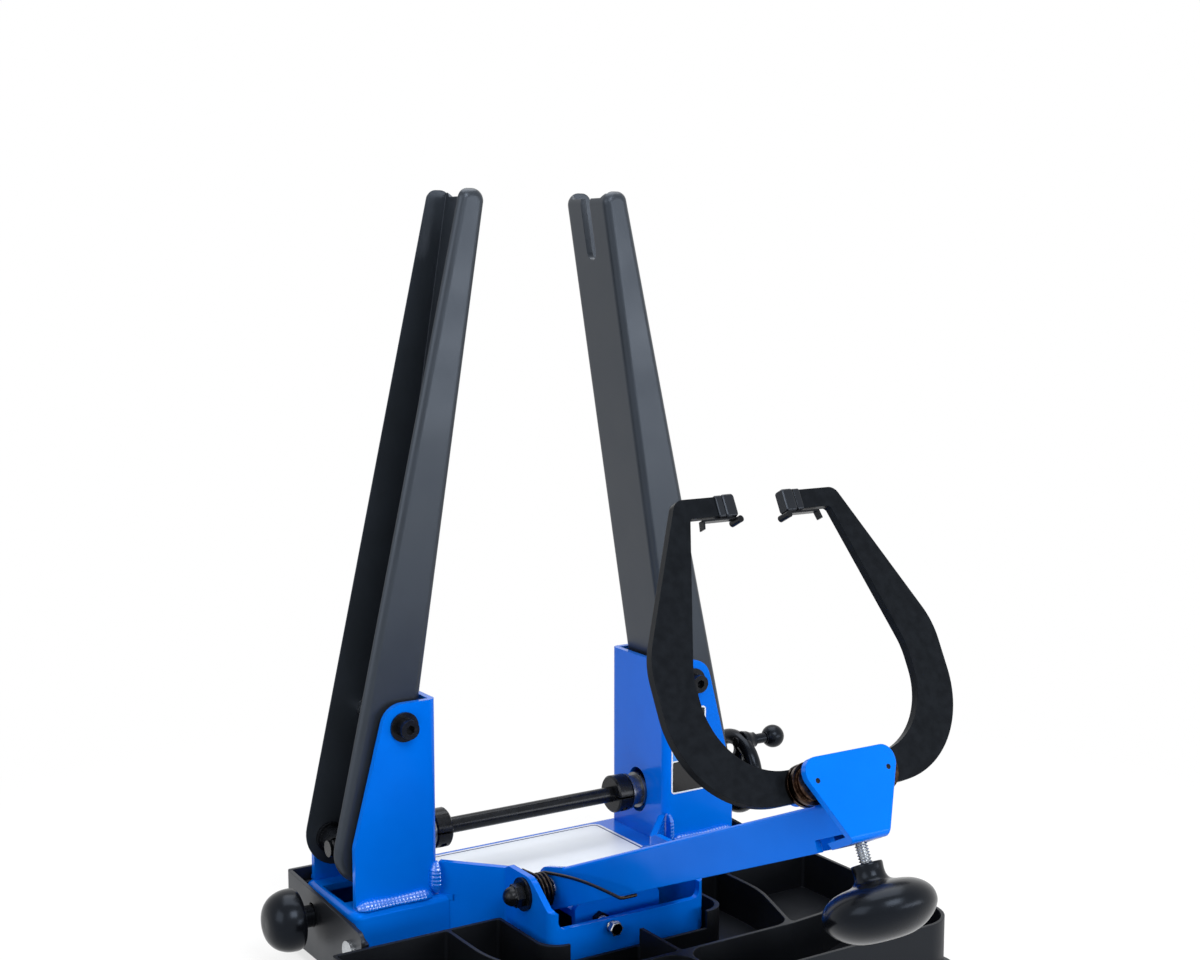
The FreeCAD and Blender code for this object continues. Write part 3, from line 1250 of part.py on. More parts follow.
plain = plain.fuse(hexagon(tilt_nut_radius, Vec(cheek_out + pivot_side_gap, stud_y, tilt_stud_z), X,
                           tilt_nut_length))
save("right_tilt_bolt", plain)

# Moulded parts tray that wraps round the front box
wall = tray_sheet
shell = slab([(-tray_outer_x, tray_front_y), (tray_outer_x, tray_front_y),
              (tray_outer_x, tray_back_y), (tray_inner_x, tray_back_y),
              (tray_inner_x, tray_bridge_y), (-tray_inner_x, tray_bridge_y),
              (-tray_inner_x, tray_back_y), (-tray_outer_x, tray_back_y)],
             [tray_end_radius + wall, tray_end_radius + wall, wall, wall, tray_corner, tray_corner, wall,
              wall], tray_top_z - cheek_low, plan(cheek_low))
depth = tray_top_z - tray_floor_z + cut_over
right_in = tray_outer_x - wall
back_in = tray_back_y - wall
back_pocket = slab([(tray_pocket_x, back_in), (tray_pocket_x, tray_wall_turn_y),
                    (tray_pocket_front_x, tray_divider_y), (tray_divider_mid_x, tray_divider_mid_y),
                    (right_in, tray_divider_end_y), (right_in, back_in)],
                   [wall, tray_wall_radius, wall, tray_end_radius, wall, wall], depth,
                   plan(tray_floor_z))
front_pocket = slab([(wall / 2, tray_front_y + wall), (right_in, tray_front_y + wall),
                     (right_in, tray_divider_end_y - wall),
                     (tray_divider_mid_x, tray_divider_mid_y - wall),
                     (tray_pocket_front_x, tray_divider_y - wall),
                     (wall / 2, tray_divider_y - wall)],
                    [wall, tray_end_radius, wall, tray_end_radius, wall, tray_corner], depth,
                    plan(tray_floor_z))
side_pocket = slab([(tray_inner_x + wall, back_in), (tray_inner_x + wall, tray_bridge_y - wall),
                    (wall / 2, tray_bridge_y - wall), (wall / 2, tray_divider_y),
                    (tray_pocket_front_x - wall, tray_divider_y),
                    (tray_pocket_x - wall, tray_wall_turn_y), (tray_pocket_x - wall, back_in)],
                   [wall, tray_corner, wall, wall, tray_corner, tray_wall_radius, wall], depth,
                   plan(tray_floor_z))
for pocket in (back_pocket, front_pocket, side_pocket):
    shell = shell.cut(pocket).cut(mirrored(pocket))
shell = shell.cut(box(-tray_bridge_low_half, tray_bridge_low_half, tray_bridge_y - wall - cut_over,
                      tray_bridge_y + cut_over, tray_bridge_top_z, tray_top_z + cut_over))
save("parts_tray", shell)

for name, shape in parts.items():
    print(name, shape.isValid(), round(shape.Volume), len(shape.Solids))
print("nodes", len(parts))
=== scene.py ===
"""Wheel truing stand on a tilting bench base.

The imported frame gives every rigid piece. This script dresses those pieces, adds the threads, weld
ripples, printed lines and moulded details that are too fine for the frame, and sets up the studio.
All lengths are in metres. X runs across the stand, Y away from the mechanic, Z up.
"""
from __future__ import annotations

import json
import logging
import math
from dataclasses import dataclass
from enum import Enum
from typing import Any, Iterable, Sequence

import bpy
import numpy as np
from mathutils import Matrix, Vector

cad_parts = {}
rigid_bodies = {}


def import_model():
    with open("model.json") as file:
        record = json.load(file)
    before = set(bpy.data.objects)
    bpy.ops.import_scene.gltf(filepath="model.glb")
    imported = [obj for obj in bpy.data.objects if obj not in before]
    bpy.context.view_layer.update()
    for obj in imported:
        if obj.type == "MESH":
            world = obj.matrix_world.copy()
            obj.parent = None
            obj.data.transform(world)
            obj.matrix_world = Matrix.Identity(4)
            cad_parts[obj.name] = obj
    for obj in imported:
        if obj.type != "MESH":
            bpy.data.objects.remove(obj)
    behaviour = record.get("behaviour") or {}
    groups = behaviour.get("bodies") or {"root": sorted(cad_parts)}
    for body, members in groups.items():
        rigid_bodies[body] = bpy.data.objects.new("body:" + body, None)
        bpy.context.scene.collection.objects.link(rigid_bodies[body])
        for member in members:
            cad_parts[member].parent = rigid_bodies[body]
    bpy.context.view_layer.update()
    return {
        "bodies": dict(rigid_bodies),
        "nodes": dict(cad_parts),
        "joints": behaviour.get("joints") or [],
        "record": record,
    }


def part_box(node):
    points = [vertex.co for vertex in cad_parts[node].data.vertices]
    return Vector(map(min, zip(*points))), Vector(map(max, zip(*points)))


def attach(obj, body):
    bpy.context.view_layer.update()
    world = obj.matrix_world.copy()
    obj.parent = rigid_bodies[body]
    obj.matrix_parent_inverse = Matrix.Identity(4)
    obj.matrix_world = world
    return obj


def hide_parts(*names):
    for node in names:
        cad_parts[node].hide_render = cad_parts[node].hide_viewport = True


LOG = logging.getLogger("truing_stand")

MM = 0.001
SMOOTH_BELOW = math.radians(28.0)
ROD_COLUMNS = 48
# Radius at which a turned profile starts, so that its end is a small flat
AXIS_GAP = 0.6 * MM
SIDES = (("right", 1.0), ("left", -1.0))
WHITE = (1.0, 1.0, 1.0, 1.0)


class Direction(Enum):
    """Named directions in the row frame."""

    RIGHT = (1.0, 0.0, 0.0)
    AWAY = (0.0, 1.0, 0.0)
    UP = (0.0, 0.0, 1.0)

    @property
    def vector(self) -> np.ndarray:
        """The direction as an array."""
        return np.array(self.value)


class Hand(Enum):
    """Hand of a screw thread."""

    RIGHT = 1.0
    LEFT = -1.0


def linear_colour(code: str) -> tuple[float, float, float, float]:
    """Turns an sRGB hex value into linear colour.

    Each channel c follows the sRGB curve: c / 12.92 near black, else ((c + 0.055) / 1.055) ** 2.4.

    Args:
        code: Six hex digits.

    Returns:
        Linear red, green, blue and an alpha of 1.
    """
    channels = np.array([int(code[k:k + 2], 16) for k in (0, 2, 4)]) / 255.0
    curved = np.where(channels <= 0.04045, channels / 12.92, ((channels + 0.055) / 1.055) ** 2.4)
    return (float(curved[0]), float(curved[1]), float(curved[2]), 1.0)


def add_node(tree: bpy.types.NodeTree, kind: str, settings: dict[str | int, Any] | None = None,
             links: dict[str | int, Any] | None = None) -> bpy.types.Node:
    """Adds one node with its settings and links.

    Args:
        tree: The node tree.
        kind: The node's type name.
        settings: Properties of the node, or default values of its inputs, by name or number.
        links: Output sockets that feed the inputs, by name or number.

    Returns:
        The new node.
    """
    node = tree.nodes.new(kind)
    for name, value in (settings or {}).items():
        if isinstance(name, int) or name in node.inputs:
            node.inputs[name].default_value = value
        else:
            setattr(node, name, value)
    for name, socket in (links or {}).items():
        tree.links.new(socket, node.inputs[name])
    return node


@dataclass(frozen=True)
class Finish:
    """A finish over plain shading, with a fine grain from its making.

    The grain is a noise on Object coordinates, so it keeps its real size on every piece.
    """

    name: str
    slot: str
    colour: str
    roughness: float
    metallic: float = 0.0
    specular: float = 0.5
    reflection: str = "FFFFFF"
    coat: float = 0.0
    coat_roughness: float = 0.1
    grain_mm: float = 1.0
    grain_height_mm: float = 0.01
    mottle_mm: float = 40.0
    mottle_colour: str = ""
    mottle_share: float = 0.5
    roughness_swing: float = 0.05
    edge_mm: float = 0.5

    def build(self) -> bpy.types.Material:
        """Makes the material once and returns it afterwards.

        Returns:
            The material with its nodes.
        """
        made = bpy.data.materials.get(self.name)
        if made is not None:
            return made
        material = bpy.data.materials.new(self.name)
        material.use_nodes = True
        tree = material.node_tree
        tree.nodes.clear()
        here = add_node(tree, "ShaderNodeTexCoord").outputs["Object"]
        broad = add_node(tree, "ShaderNodeTexNoise", {"Scale": 1.0 / (self.mottle_mm * MM), "Detail": 3.0},
                         {"Vector": here})
        grain = add_node(tree, "ShaderNodeTexNoise", {"Scale": 1.0 / (self.grain_mm * MM), "Detail": 2.0},
                         {"Vector": here})
        share = add_node(tree, "ShaderNodeMapRange",
                         {"From Min": 0.35, "From Max": 0.65, "To Min": 0.0, "To Max": self.mottle_share},
                         {"Value": broad.outputs["Fac"]})
        tint = add_node(tree, "ShaderNodeMix",
                        {"data_type": "RGBA", 6: linear_colour(self.colour),
                         7: linear_colour(self.mottle_colour or self.colour)},
                        {"Factor": share.outputs["Result"]})
        rough = add_node(tree, "ShaderNodeMapRange",
                         {"From Min": 0.3, "From Max": 0.7,
                          "To Min": max(self.roughness - self.roughness_swing, 0.02),
                          "To Max": self.roughness + self.roughness_swing},
                         {"Value": broad.outputs["Fac"]})
        rounded = add_node(tree, "ShaderNodeBevel", {"samples": 4, "Radius": self.edge_mm * MM})
        bump = add_node(tree, "ShaderNodeBump", {"Strength": 1.0, "Distance": self.grain_height_mm * MM},
                        {"Height": grain.outputs["Fac"], "Normal": rounded.outputs["Normal"]})
        shader = add_node(tree, "ShaderNodeBsdfPrincipled",
                          {"Metallic": self.metallic, "Specular IOR Level": self.specular,
                           "Specular Tint": linear_colour(self.reflection),
                           "Coat Weight": self.coat, "Coat Roughness": self.coat_roughness},
                          {"Base Color": tint.outputs[2], "Roughness": rough.outputs["Result"],
                           "Normal": bump.outputs["Normal"]})
        add_node(tree, "ShaderNodeOutputMaterial", None, {"Surface": shader.outputs["BSDF"]})
        return material


# Polyester powder coat, cured glossy: an even blue with a faint orange peel
BLUE_POWDER_COAT = Finish("blue_powder_coat", "blue_paint", "006CDE", 0.16, specular=0.4, reflection="1C62FF",
                          grain_mm=1.6, grain_height_mm=0.012, mottle_colour="0064D2", edge_mm=0.9)
# The same coat over a weld bead, thicker in the ripples: wet bright streaks
BLUE_WELD_COAT = Finish("blue_weld_coat", "blue_paint", "006CDE", 0.1, specular=0.5, coat=1.0,
                        coat_roughness=0.05, grain_mm=2.8, grain_height_mm=0.12, mottle_mm=8.0,
                        mottle_colour="005FC8", edge_mm=0.3)
# Epoxy powder coat on the uprights, satin: soft blue grey sheen over black
SATIN_BLACK_COAT = Finish("satin_black_coat", "black_steel", "202429", 0.36, specular=0.5,
                          reflection="D4E2F6", grain_mm=1.3, grain_height_mm=0.012,
                          mottle_colour="242930", edge_mm=0.9)
# Powder coated sheet of the bench base, seen in shadow: plain soft black, darkened as painted shade
BENCH_BLACK_COAT = Finish("bench_black_coat", "black_steel", "17181B", 0.38, specular=0.45,
                          reflection="D4E2F6", grain_mm=1.3, grain_height_mm=0.012,
                          mottle_colour="121316", edge_mm=0.9)
# Laser cut steel plate with a fine matt black coat: dry, slightly speckled
MATT_BLACK_PLATE = Finish("matt_black_plate", "jaw_steel", "0B0D10", 0.36, specular=0.09,
                          reflection="C8D8F0", grain_mm=0.7, grain_height_mm=0.03, mottle_mm=6.0,
                          mottle_colour="15181C", edge_mm=0.9)
# Bright zinc plate on turned steel: cool and slightly clouded
BRIGHT_ZINC = Finish("bright_zinc_plate", "zinc", "B4B8BC", 0.24, metallic=1.0, grain_mm=0.5,
                     grain_height_mm=0.004, mottle_mm=3.0, mottle_colour="9DA1A6", roughness_swing=0.06,
                     edge_mm=0.25)
# Black oxide on hardened steel: dark metal with an oily sheen
BLACK_OXIDE = Finish("black_oxide_steel", "dark_fastener", "121418", 0.25, metallic=0.45, specular=0.25,
                     grain_mm=0.6, grain_height_mm=0.006, mottle_mm=5.0, mottle_colour="1E2126",
                     edge_mm=0.35)
# Phenolic knobs, compression moulded and polished: deep glossy black
POLISHED_PHENOLIC = Finish("polished_phenolic", "black_plastic", "08090C", 0.24, specular=0.2,
                           reflection="CCDCF4", grain_mm=2.0, grain_height_mm=0.02,
                           mottle_colour="0C0E12", edge_mm=0.4)
# Injection moulded ABS with a spark eroded texture: soft black
TEXTURED_ABS = Finish("textured_abs", "tray_plastic", "090A0D", 0.44, specular=0.25, reflection="D4E2F6",
                      grain_mm=0.8, grain_height_mm=0.03, mottle_colour="0D0E11", edge_mm=0.8)
# Moulded nylon caps on the caliper fingers: dull black
MOULDED_NYLON = Finish("moulded_nylon", "cap_plastic", "0B0C10", 0.32, specular=0.35, reflection="D4E2F6",
                       grain_mm=0.6, grain_height_mm=0.01, mottle_colour="111317", edge_mm=0.3)
# Screen printed vinyl mat, satin laminate: clean cool white
PRINTED_VINYL = Finish("printed_vinyl", "white_mat", "EAEFF4", 0.3, specular=0.4, grain_mm=1.0,
                       grain_height_mm=0.004, mottle_mm=60.0, mottle_colour="E0E7EE", edge_mm=0.2)
# Screen printed ink: thin dark blue lines
PRINTED_INK = Finish("printed_ink", "blue_paint", "0A2F6B", 0.35, specular=0.4, edge_mm=0.02)
# Nitrile rubber feet: matt and very dark
FOOT_RUBBER = Finish("foot_rubber", "rubber", "0E0E0F", 0.7, specular=0.3, grain_mm=0.8,
                     grain_height_mm=0.02, mottle_colour="121213")
# Oil tempered music wire: dark metal with a bright streak along it
MUSIC_WIRE = Finish("music_wire", "spring_steel", "231F1D", 0.24, metallic=0.85, grain_mm=0.4,
                    grain_height_mm=0.003, mottle_mm=4.0, mottle_colour="2E2622", edge_mm=0.1)
# Heat browned disc springs: dark bronze colours with bright rims
BROWNED_STEEL = Finish("browned_spring_steel", "spring_steel", "33261F", 0.22, metallic=1.0, grain_mm=0.5,
                       grain_height_mm=0.004, mottle_mm=3.0, mottle_colour="6B5546", edge_mm=0.2)
# Plain bearing steel of the thrust bushings, ground: grey metal
GROUND_STEEL = Finish("ground_steel", "bronze", "77797C", 0.3, metallic=1.0, grain_mm=0.5,
                      grain_height_mm=0.004, mottle_mm=4.0, mottle_colour="606265", edge_mm=0.2)
# Label field, blank gloss film
LABEL_BLACK = Finish("label_black_film", "cap_plastic", "0B0C10", 0.2, specular=0.5, edge_mm=0.02)
LABEL_WHITE = Finish("label_white_film", "white_mat", "DDE3EA", 0.25, specular=0.5, edge_mm=0.02)
LABEL_BLUE = Finish("label_blue_film", "blue_paint", "2C86DE", 0.25, specular=0.5, edge_mm=0.02)


# Nodes that wear each finish, their names apart by spaces
FINISH_NODES: tuple[tuple[Finish, str], ...] = (
    (BENCH_BLACK_COAT, "bench_base tilt_cradle"),
    (FOOT_RUBBER, "rubber_feet"),
    (TEXTURED_ABS, "parts_tray"),
    (BLUE_POWDER_COAT, "base_pan front_yoke left_pedestal right_pedestal weld_beads stop_tab caliper_arm"
                       " head_bracket"),
    (PRINTED_VINYL, "deck_mat"),
    (SATIN_BLACK_COAT, "left_upright right_upright"),
    (BRIGHT_ZINC, "tilt_pivot_pins stop_screw left_pivot_tube right_pivot_tube arm_sleeve jaw_cam"
                  " caliper_screw"),
    (BLACK_OXIDE, "left_tilt_stud right_tilt_bolt stop_nut left_pivot_bolt right_pivot_bolt"
                  " pivot_washers pivot_nuts pivot_spacers arm_pivot_bolt acorn_nut acorn_washer"
                  " arm_spacers left_trunnion right_trunnion spreader_screw left_collar right_collar"
                  " crank_cap_screw head_nut jaw_pins left_tip_clip right_tip_clip"),
    (POLISHED_PHENOLIC, "left_tilt_knob crank_wheel crank_stem crank_ball_knob caliper_knob"),
    (GROUND_STEEL, "left_thrust_bushing right_thrust_bushing"),
    (MUSIC_WIRE, "arm_spring"),
    (BROWNED_STEEL, "spring_washers"),
    (MATT_BLACK_PLATE, "left_jaw right_jaw"),
    (MOULDED_NYLON, "left_tip right_tip"),
)
NODE_FINISHES = {node: finish for finish, nodes in FINISH_NODES for node in nodes.split()}


def put_finish(piece: bpy.types.Object, finish: Finish) -> None:
    """Gives a piece one finish on all its faces.

    Args:
        piece: The mesh object.
        finish: The finish.
    """
    material = finish.build()
    if not piece.material_slots:
        piece.data.materials.append(material)
    for slot in piece.material_slots:
        slot.link = "OBJECT"
        slot.material = material


def smoothing_nodes() -> bpy.types.NodeTree:
    """Node group that joins the loose triangles and keeps only the sharp edges sharp.

    Returns:
        The geometry node group.
    """
    made = bpy.data.node_groups.get("smooth_by_angle")
    if made is not None:
        return made
    tree = bpy.data.node_groups.new("smooth_by_angle", "GeometryNodeTree")
    tree.interface.new_socket("Geometry", in_out="INPUT", socket_type="NodeSocketGeometry")
    tree.interface.new_socket("Geometry", in_out="OUTPUT", socket_type="NodeSocketGeometry")
    entry = add_node(tree, "NodeGroupInput")
    joined = add_node(tree, "GeometryNodeMergeByDistance", {"Distance": 0.002 * MM},
                      {"Geometry": entry.outputs[0]})
    angle = add_node(tree, "GeometryNodeInputMeshEdgeAngle")
    gentle = add_node(tree, "FunctionNodeCompare", {"operation": "LESS_EQUAL", "B": SMOOTH_BELOW},
                      {"A": angle.outputs["Unsigned Angle"]})
    faces = add_node(tree, "GeometryNodeSetShadeSmooth", {"domain": "FACE", "Shade Smooth": True},
                     {"Geometry": joined.outputs["Geometry"]})
    edges = add_node(tree, "GeometryNodeSetShadeSmooth", {"domain": "EDGE"},
                     {"Geometry": faces.outputs["Geometry"], "Shade Smooth": gentle.outputs["Result"]})
    add_node(tree, "NodeGroupOutput", None, {"Geometry": edges.outputs["Geometry"]})
    return tree


def smooth_shading(piece: bpy.types.Object) -> None:
    """Shades curved stretches smoothly and leaves folds and rims crisp.

    Args:
        piece: The mesh object.
    """
    group = piece.modifiers.new("smooth_by_angle", "NODES")
    group.node_group = smoothing_nodes()
    weighted = piece.modifiers.new("weighted_normals", "WEIGHTED_NORMAL")
    weighted.keep_sharp = True
    weighted.weight = 100


@dataclass(frozen=True)
class Axes:
    """A local frame: an origin and two directions, whose cross product is the third."""

    origin: np.ndarray
    first: np.ndarray
    second: np.ndarray

    @property
    def third(self) -> np.ndarray:
        """The direction square to the first two."""
        return np.cross(self.first, self.second)

    def place(self, points: np.ndarray) -> np.ndarray:
        """Moves local points into the row frame.

        Args:
            points: Local coordinates, the last axis of size 3.

        Returns:
            The points in the row frame.
        """
        return self.origin + points[..., 0:1] * self.first + points[..., 1:2] * self.second \
            + points[..., 2:3] * self.third


def unit(vectors: np.ndarray) -> np.ndarray:
    """Vectors over their lengths.

    Args:
        vectors: One vector, or one in each row.

    Returns:
        The same directions with a length of 1.
    """
    return vectors / np.linalg.norm(vectors, axis=-1, keepdims=True)


def circle(columns: int) -> np.ndarray:
    """Points (cos t, sin t) in equal steps round a circle of radius 1.

    Args:
        columns: Number of steps.

    Returns:
        One point per row.
    """
    turn = np.linspace(0.0, 2.0 * math.pi, columns, endpoint=False)
    return np.stack([np.cos(turn), np.sin(turn)], axis=-1)


def quarter(steps: int) -> np.ndarray:
    """Points (cos t, sin t) of a quarter circle of radius 1, with both its ends.

    Args:
        steps: Number of points.

    Returns:
        One point per row.
    """
    turn = np.linspace(0.0, math.pi / 2.0, steps)
    return np.stack([np.cos(turn), np.sin(turn)], axis=-1)


def rounded_rectangle(low: Sequence[float], high: Sequence[float], radius: float,
                      steps: int) -> np.ndarray:
    """Outline of a rectangle whose corners are quarter circles, turning left.

    Args:
        low: Lower left corner.
        high: Upper right corner.
        radius: Radius of the rounding.
        steps: Points on each rounding.

    Returns:
        One point per row.
    """
    angle = (np.arange(4)[:, None] + np.linspace(0.0, 1.0, steps)) * math.pi / 2.0
    left, right = low[0] + radius, high[0] - radius
    lower, upper = low[1] + radius, high[1] - radius
    x = np.array((right, left, left, right))[:, None] + radius * np.cos(angle)
    y = np.array((upper, upper, lower, lower))[:, None] + radius * np.sin(angle)
    return np.stack([x, y], axis=-1).reshape(-1, 2)


def disc_profile(radius: float, low: float, high: float, edge: float, rise: float) -> np.ndarray:
    """Profile of a disc with a bevel round both faces, for turning.

    Args:
        radius: Radius of the disc.
        low: Height of its lower face.
        high: Height of its upper face.
        edge: Width of the bevel across the face.
        rise: Height of the bevel along the side.

    Returns:
        Rows of radius and height.
    """
    return np.array(((AXIS_GAP, low), (radius - edge, low), (radius, low + rise), (radius, high - rise),
                     (radius - edge, high), (AXIS_GAP, high)))


def axes_along(origin: Sequence[float], direction: Sequence[float]) -> Axes:
    """A local frame whose third direction runs along a line.

    Args:
        origin: Start of the line.
        direction: The line's direction.

    Returns:
        The frame.
    """
    along = unit(np.array(direction, float))
    helper = np.array((0.0, 0.0, 1.0)) if abs(along[2]) < 0.9 else np.array((1.0, 0.0, 0.0))
    first = unit(np.cross(helper, along))
    return Axes(np.array(origin, float), first, np.cross(along, first))


def mesh_piece(name: str, vertices: np.ndarray, faces: Iterable[Sequence[int]]) -> bpy.types.Object:
    """Makes an object from points and faces, with smooth shading.

    Args:
        name: The piece's name.
        vertices: Points in the row frame.
        faces: Corner indices of each face.

    Returns:
        The new object at the origin.
    """
    mesh = bpy.data.meshes.new(name)
    mesh.from_pydata(vertices.reshape(-1, 3).tolist(), [], [tuple(int(i) for i in f) for f in faces])
    mesh.update()
    piece = bpy.data.objects.new(name, mesh)
    bpy.context.scene.collection.objects.link(piece)
    smooth_shading(piece)
    return piece


def skin_grid(rows: int, columns: int, joined: bool = False) -> list[tuple[int, ...]]:
    """Faces of a tube made of rings, with a lid at each end or its last ring joined to its first.

    Args:
        rows: Number of rings.
        columns: Points in each ring.
        joined: Whether the last ring meets the first, with no lids.

    Returns:
        The faces, pointing outwards for rings that turn left about the way they follow.
    """
    ring = np.arange(columns)
    start = np.arange(rows if joined else rows - 1)[:, None] * columns
    here, beside = start + ring, start + (ring + 1) % columns
    quads = np.stack([here, beside, beside + columns, here + columns], axis=-1) % (rows * columns)
    faces = [tuple(quad) for quad in quads.reshape(-1, 4)]
    return faces if joined else faces + [tuple(ring[::-1]), tuple(ring + (rows - 1) * columns)]


def lathe(name: str, axes: Axes, profile: np.ndarray, columns: int = 96,
          ring: bool = False) -> bpy.types.Object:
    """Turns a profile about the third direction of its frame.

    A point at radius r and height h goes to (r cos t, r sin t, h) as t runs round the circle.

    Args:
        name: The piece's name.
        axes: The local frame.
        profile: Rows of radius and height, going up on the outside.
        columns: Points round the circle.
        ring: Whether the profile closes on itself, which gives a ring.

    Returns:
        The closed piece.
    """
    flat = profile[:, None, :1] * circle(columns)
    heights = np.broadcast_to(profile[:, None, 1:], (len(profile), columns, 1))
    points = np.concatenate([flat, heights], axis=-1)
    return mesh_piece(name, axes.place(points), skin_grid(len(profile), columns, ring))


def screw_thread(name: str, axes: Axes, length: float, radius: float, pitch: float, depth: float,
                 hand: Hand = Hand.RIGHT, threaded: tuple[float, float] | None = None,
                 steps: int = 8) -> bpy.types.Object:
    """A rod with a thread between two heights.

    At height h and angle t the radius falls by depth times a rounded saw of h / pitch - t / 2 pi,
    faded out over one pitch at each end of the threaded stretch.

    Args:
        name: The piece's name.
        axes: The local frame, whose third direction is the rod's.
        length: Length of the rod.
        radius: Outer radius.
        pitch: Pitch of the thread.
        depth: Depth of the thread.
        hand: Hand of the thread.
        threaded: Heights between which the thread runs, or None for the whole rod.
        steps: Rings in one pitch.

    Returns:
        The closed rod.
    """
    low, high = threaded or (0.0, length)
    rows = max(int(round((high - low) / pitch * steps)), 2)
    heights = np.unique(np.concatenate([[0.0], np.linspace(low, high, rows), [length]]))
    turn = np.linspace(0.0, 2.0 * math.pi, ROD_COLUMNS, endpoint=False)
    height, angle = np.meshgrid(heights, turn, indexing="ij")
    phase = height / pitch - hand.value * angle / (2.0 * math.pi)
    saw = np.abs(phase - np.floor(phase) - 0.5) * 2.0
    groove = np.clip(saw * 1.3 - 0.15, 0.0, 1.0)
    fade = np.clip(np.minimum(height - low, high - height) / pitch, 0.0, 1.0)
    reach = radius - depth * groove * fade
    points = np.stack([reach * np.cos(angle), reach * np.sin(angle), height], axis=-1)
    return mesh_piece(name, axes.place(points), skin_grid(len(heights), ROD_COLUMNS))


def flowing_curve(points: np.ndarray, steps: int) -> np.ndarray:
    """A smooth curve through given points.

    Between points b and c with neighbours a and d, the curve at share t is the cubic
    b + t (c - a) / 2 + t^2 (a - 5 b / 2 + 2 c - d / 2) + t^3 (3 b - a - 3 c + d) / 2.

    Args:
        points: Rows of coordinates.
        steps: Steps between two neighbouring points.

    Returns:
        Rows of the finer curve.
    """
    padded = np.concatenate([2.0 * points[:1] - points[1:2], points, 2.0 * points[-1:] - points[-2:-1]])
    a, b, c, d = padded[:-3, None], padded[1:-2, None], padded[2:-1, None], padded[3:, None]
    t = np.linspace(0.0, 1.0, steps, endpoint=False)[None, :, None]
    curve = b + t * (c - a) / 2.0 + t ** 2 * (a - 2.5 * b + 2.0 * c - 0.5 * d) \
        + t ** 3 * (3.0 * b - a - 3.0 * c + d) / 2.0
    return np.concatenate([curve.reshape(-1, points.shape[1]), points[-1:]])


def swept_tube(name: str, path: np.ndarray, side: np.ndarray, up: np.ndarray, section: np.ndarray,
               scale: np.ndarray | float = 1.0) -> bpy.types.Object:
    """Carries a closed section along a path.

    The point (a, b) of the section goes to path + scale (a side + b up).

    Args:
        name: The piece's name.
        path: Points along the middle.
        side: Direction of the section's first coordinate, one for all or one for each path point.
        up: Direction of its second coordinate, in the same way.
        section: Rows of section coordinates.
        scale: Factor on the section, one for all or one for each path point.

    Returns:
        The closed piece.
    """
    frame = np.stack([np.broadcast_to(side, path.shape), np.broadcast_to(up, path.shape)], axis=1)
    size = np.broadcast_to(scale, len(path))[:, None, None]
    points = path[:, None, :] + size * (section @ frame)
    return mesh_piece(name, points, skin_grid(len(path), len(section)))


def ride_and_slot(piece: bpy.types.Object, body: str, finish: Finish, *nodes: str) -> None:
    """Puts a piece on its body, in place of the nodes it stands for, with its finish.

    Args:
        piece: The new piece.
        body: Name of the body.
        finish: The finish.
        nodes: Names of the nodes that it replaces.
    """
    put_finish(piece, finish)
    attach(piece, body)
    if nodes:
        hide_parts(*nodes)
    LOG.info("%s rides on %s", piece.name, body)


@dataclass(frozen=True)
class Box:
    """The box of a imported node, from its lowest corner to its highest."""

    low: np.ndarray
    high: np.ndarray

    @property
    def middle(self) -> np.ndarray:
        """The point halfway between the corners."""
        return (self.low + self.high) / 2.0

    @property
    def size(self) -> np.ndarray:
        """Width, depth and height."""
        return self.high - self.low


def box_of(node: str) -> Box:
    """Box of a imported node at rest.

    Args:
        node: The node's name.

    Returns:
        The box.
    """
    low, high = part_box(node)
    return Box(np.array(low), np.array(high))


@dataclass(frozen=True)
class LeaningFrame:
    """A plane that leans toward the wheel: X across, a way out of it and a way up it."""

    origin: tuple[float, float, float]
    lean: float

    @property
    def out(self) -> np.ndarray:
        """Direction toward the mechanic."""
        return np.array((0.0, -math.cos(self.lean), math.sin(self.lean)))

    @property
    def up(self) -> np.ndarray:
        """Direction up the plane."""
        return np.array((0.0, math.sin(self.lean), math.cos(self.lean)))

    def point(self, x: Any, out: Any, up: Any) -> np.ndarray:
        """Point of the plane's own coordinates, in the row frame.

        Args:
            x: Distance across, a number or an array.
            out: Distance toward the mechanic.
            up: Distance up the plane.

        Returns:
            The points, the last axis of size 3.
        """
        across = np.asarray(x, float)[..., None] * Direction.RIGHT.vector
        return np.array(self.origin) + across + np.asarray(out, float)[..., None] * self.out \
            + np.asarray(up, float)[..., None] * self.up


JAW_HEAD = LeaningFrame((0.0, -0.265, 0.202), math.radians(27.0))
ARM_PLANE = LeaningFrame((0.0, -0.004, 0.068), math.radians(23.5))


@dataclass
class SpreaderScrew:
    """The long screw that opens the uprights, smooth between the collars and threaded near its nuts."""

    pitch: float = 3.0 * MM
    depth: float = 1.1 * MM
    bare_half: float = 112.0 * MM
    thread_end: float = 169.0 * MM

    def build(self) -> None:
        """Makes the left half with a left hand thread and the right half with a right hand one."""
        box = box_of("spreader_screw")
        for side, hand, end in (("left", Hand.LEFT, box.low[0]), ("right", Hand.RIGHT, box.high[0])):
            axes = axes_along((0.0, *box.middle[1:]), (math.copysign(1.0, end), 0.0, 0.0))
            rod = screw_thread(f"{side}_spreader_thread", axes, abs(end), box.size[2] / 2.0, self.pitch,
                               self.depth, hand, (self.bare_half, self.thread_end))
            ride_and_slot(rod, "screw", BLACK_OXIDE, *(("spreader_screw",) if side == "left" else ()))


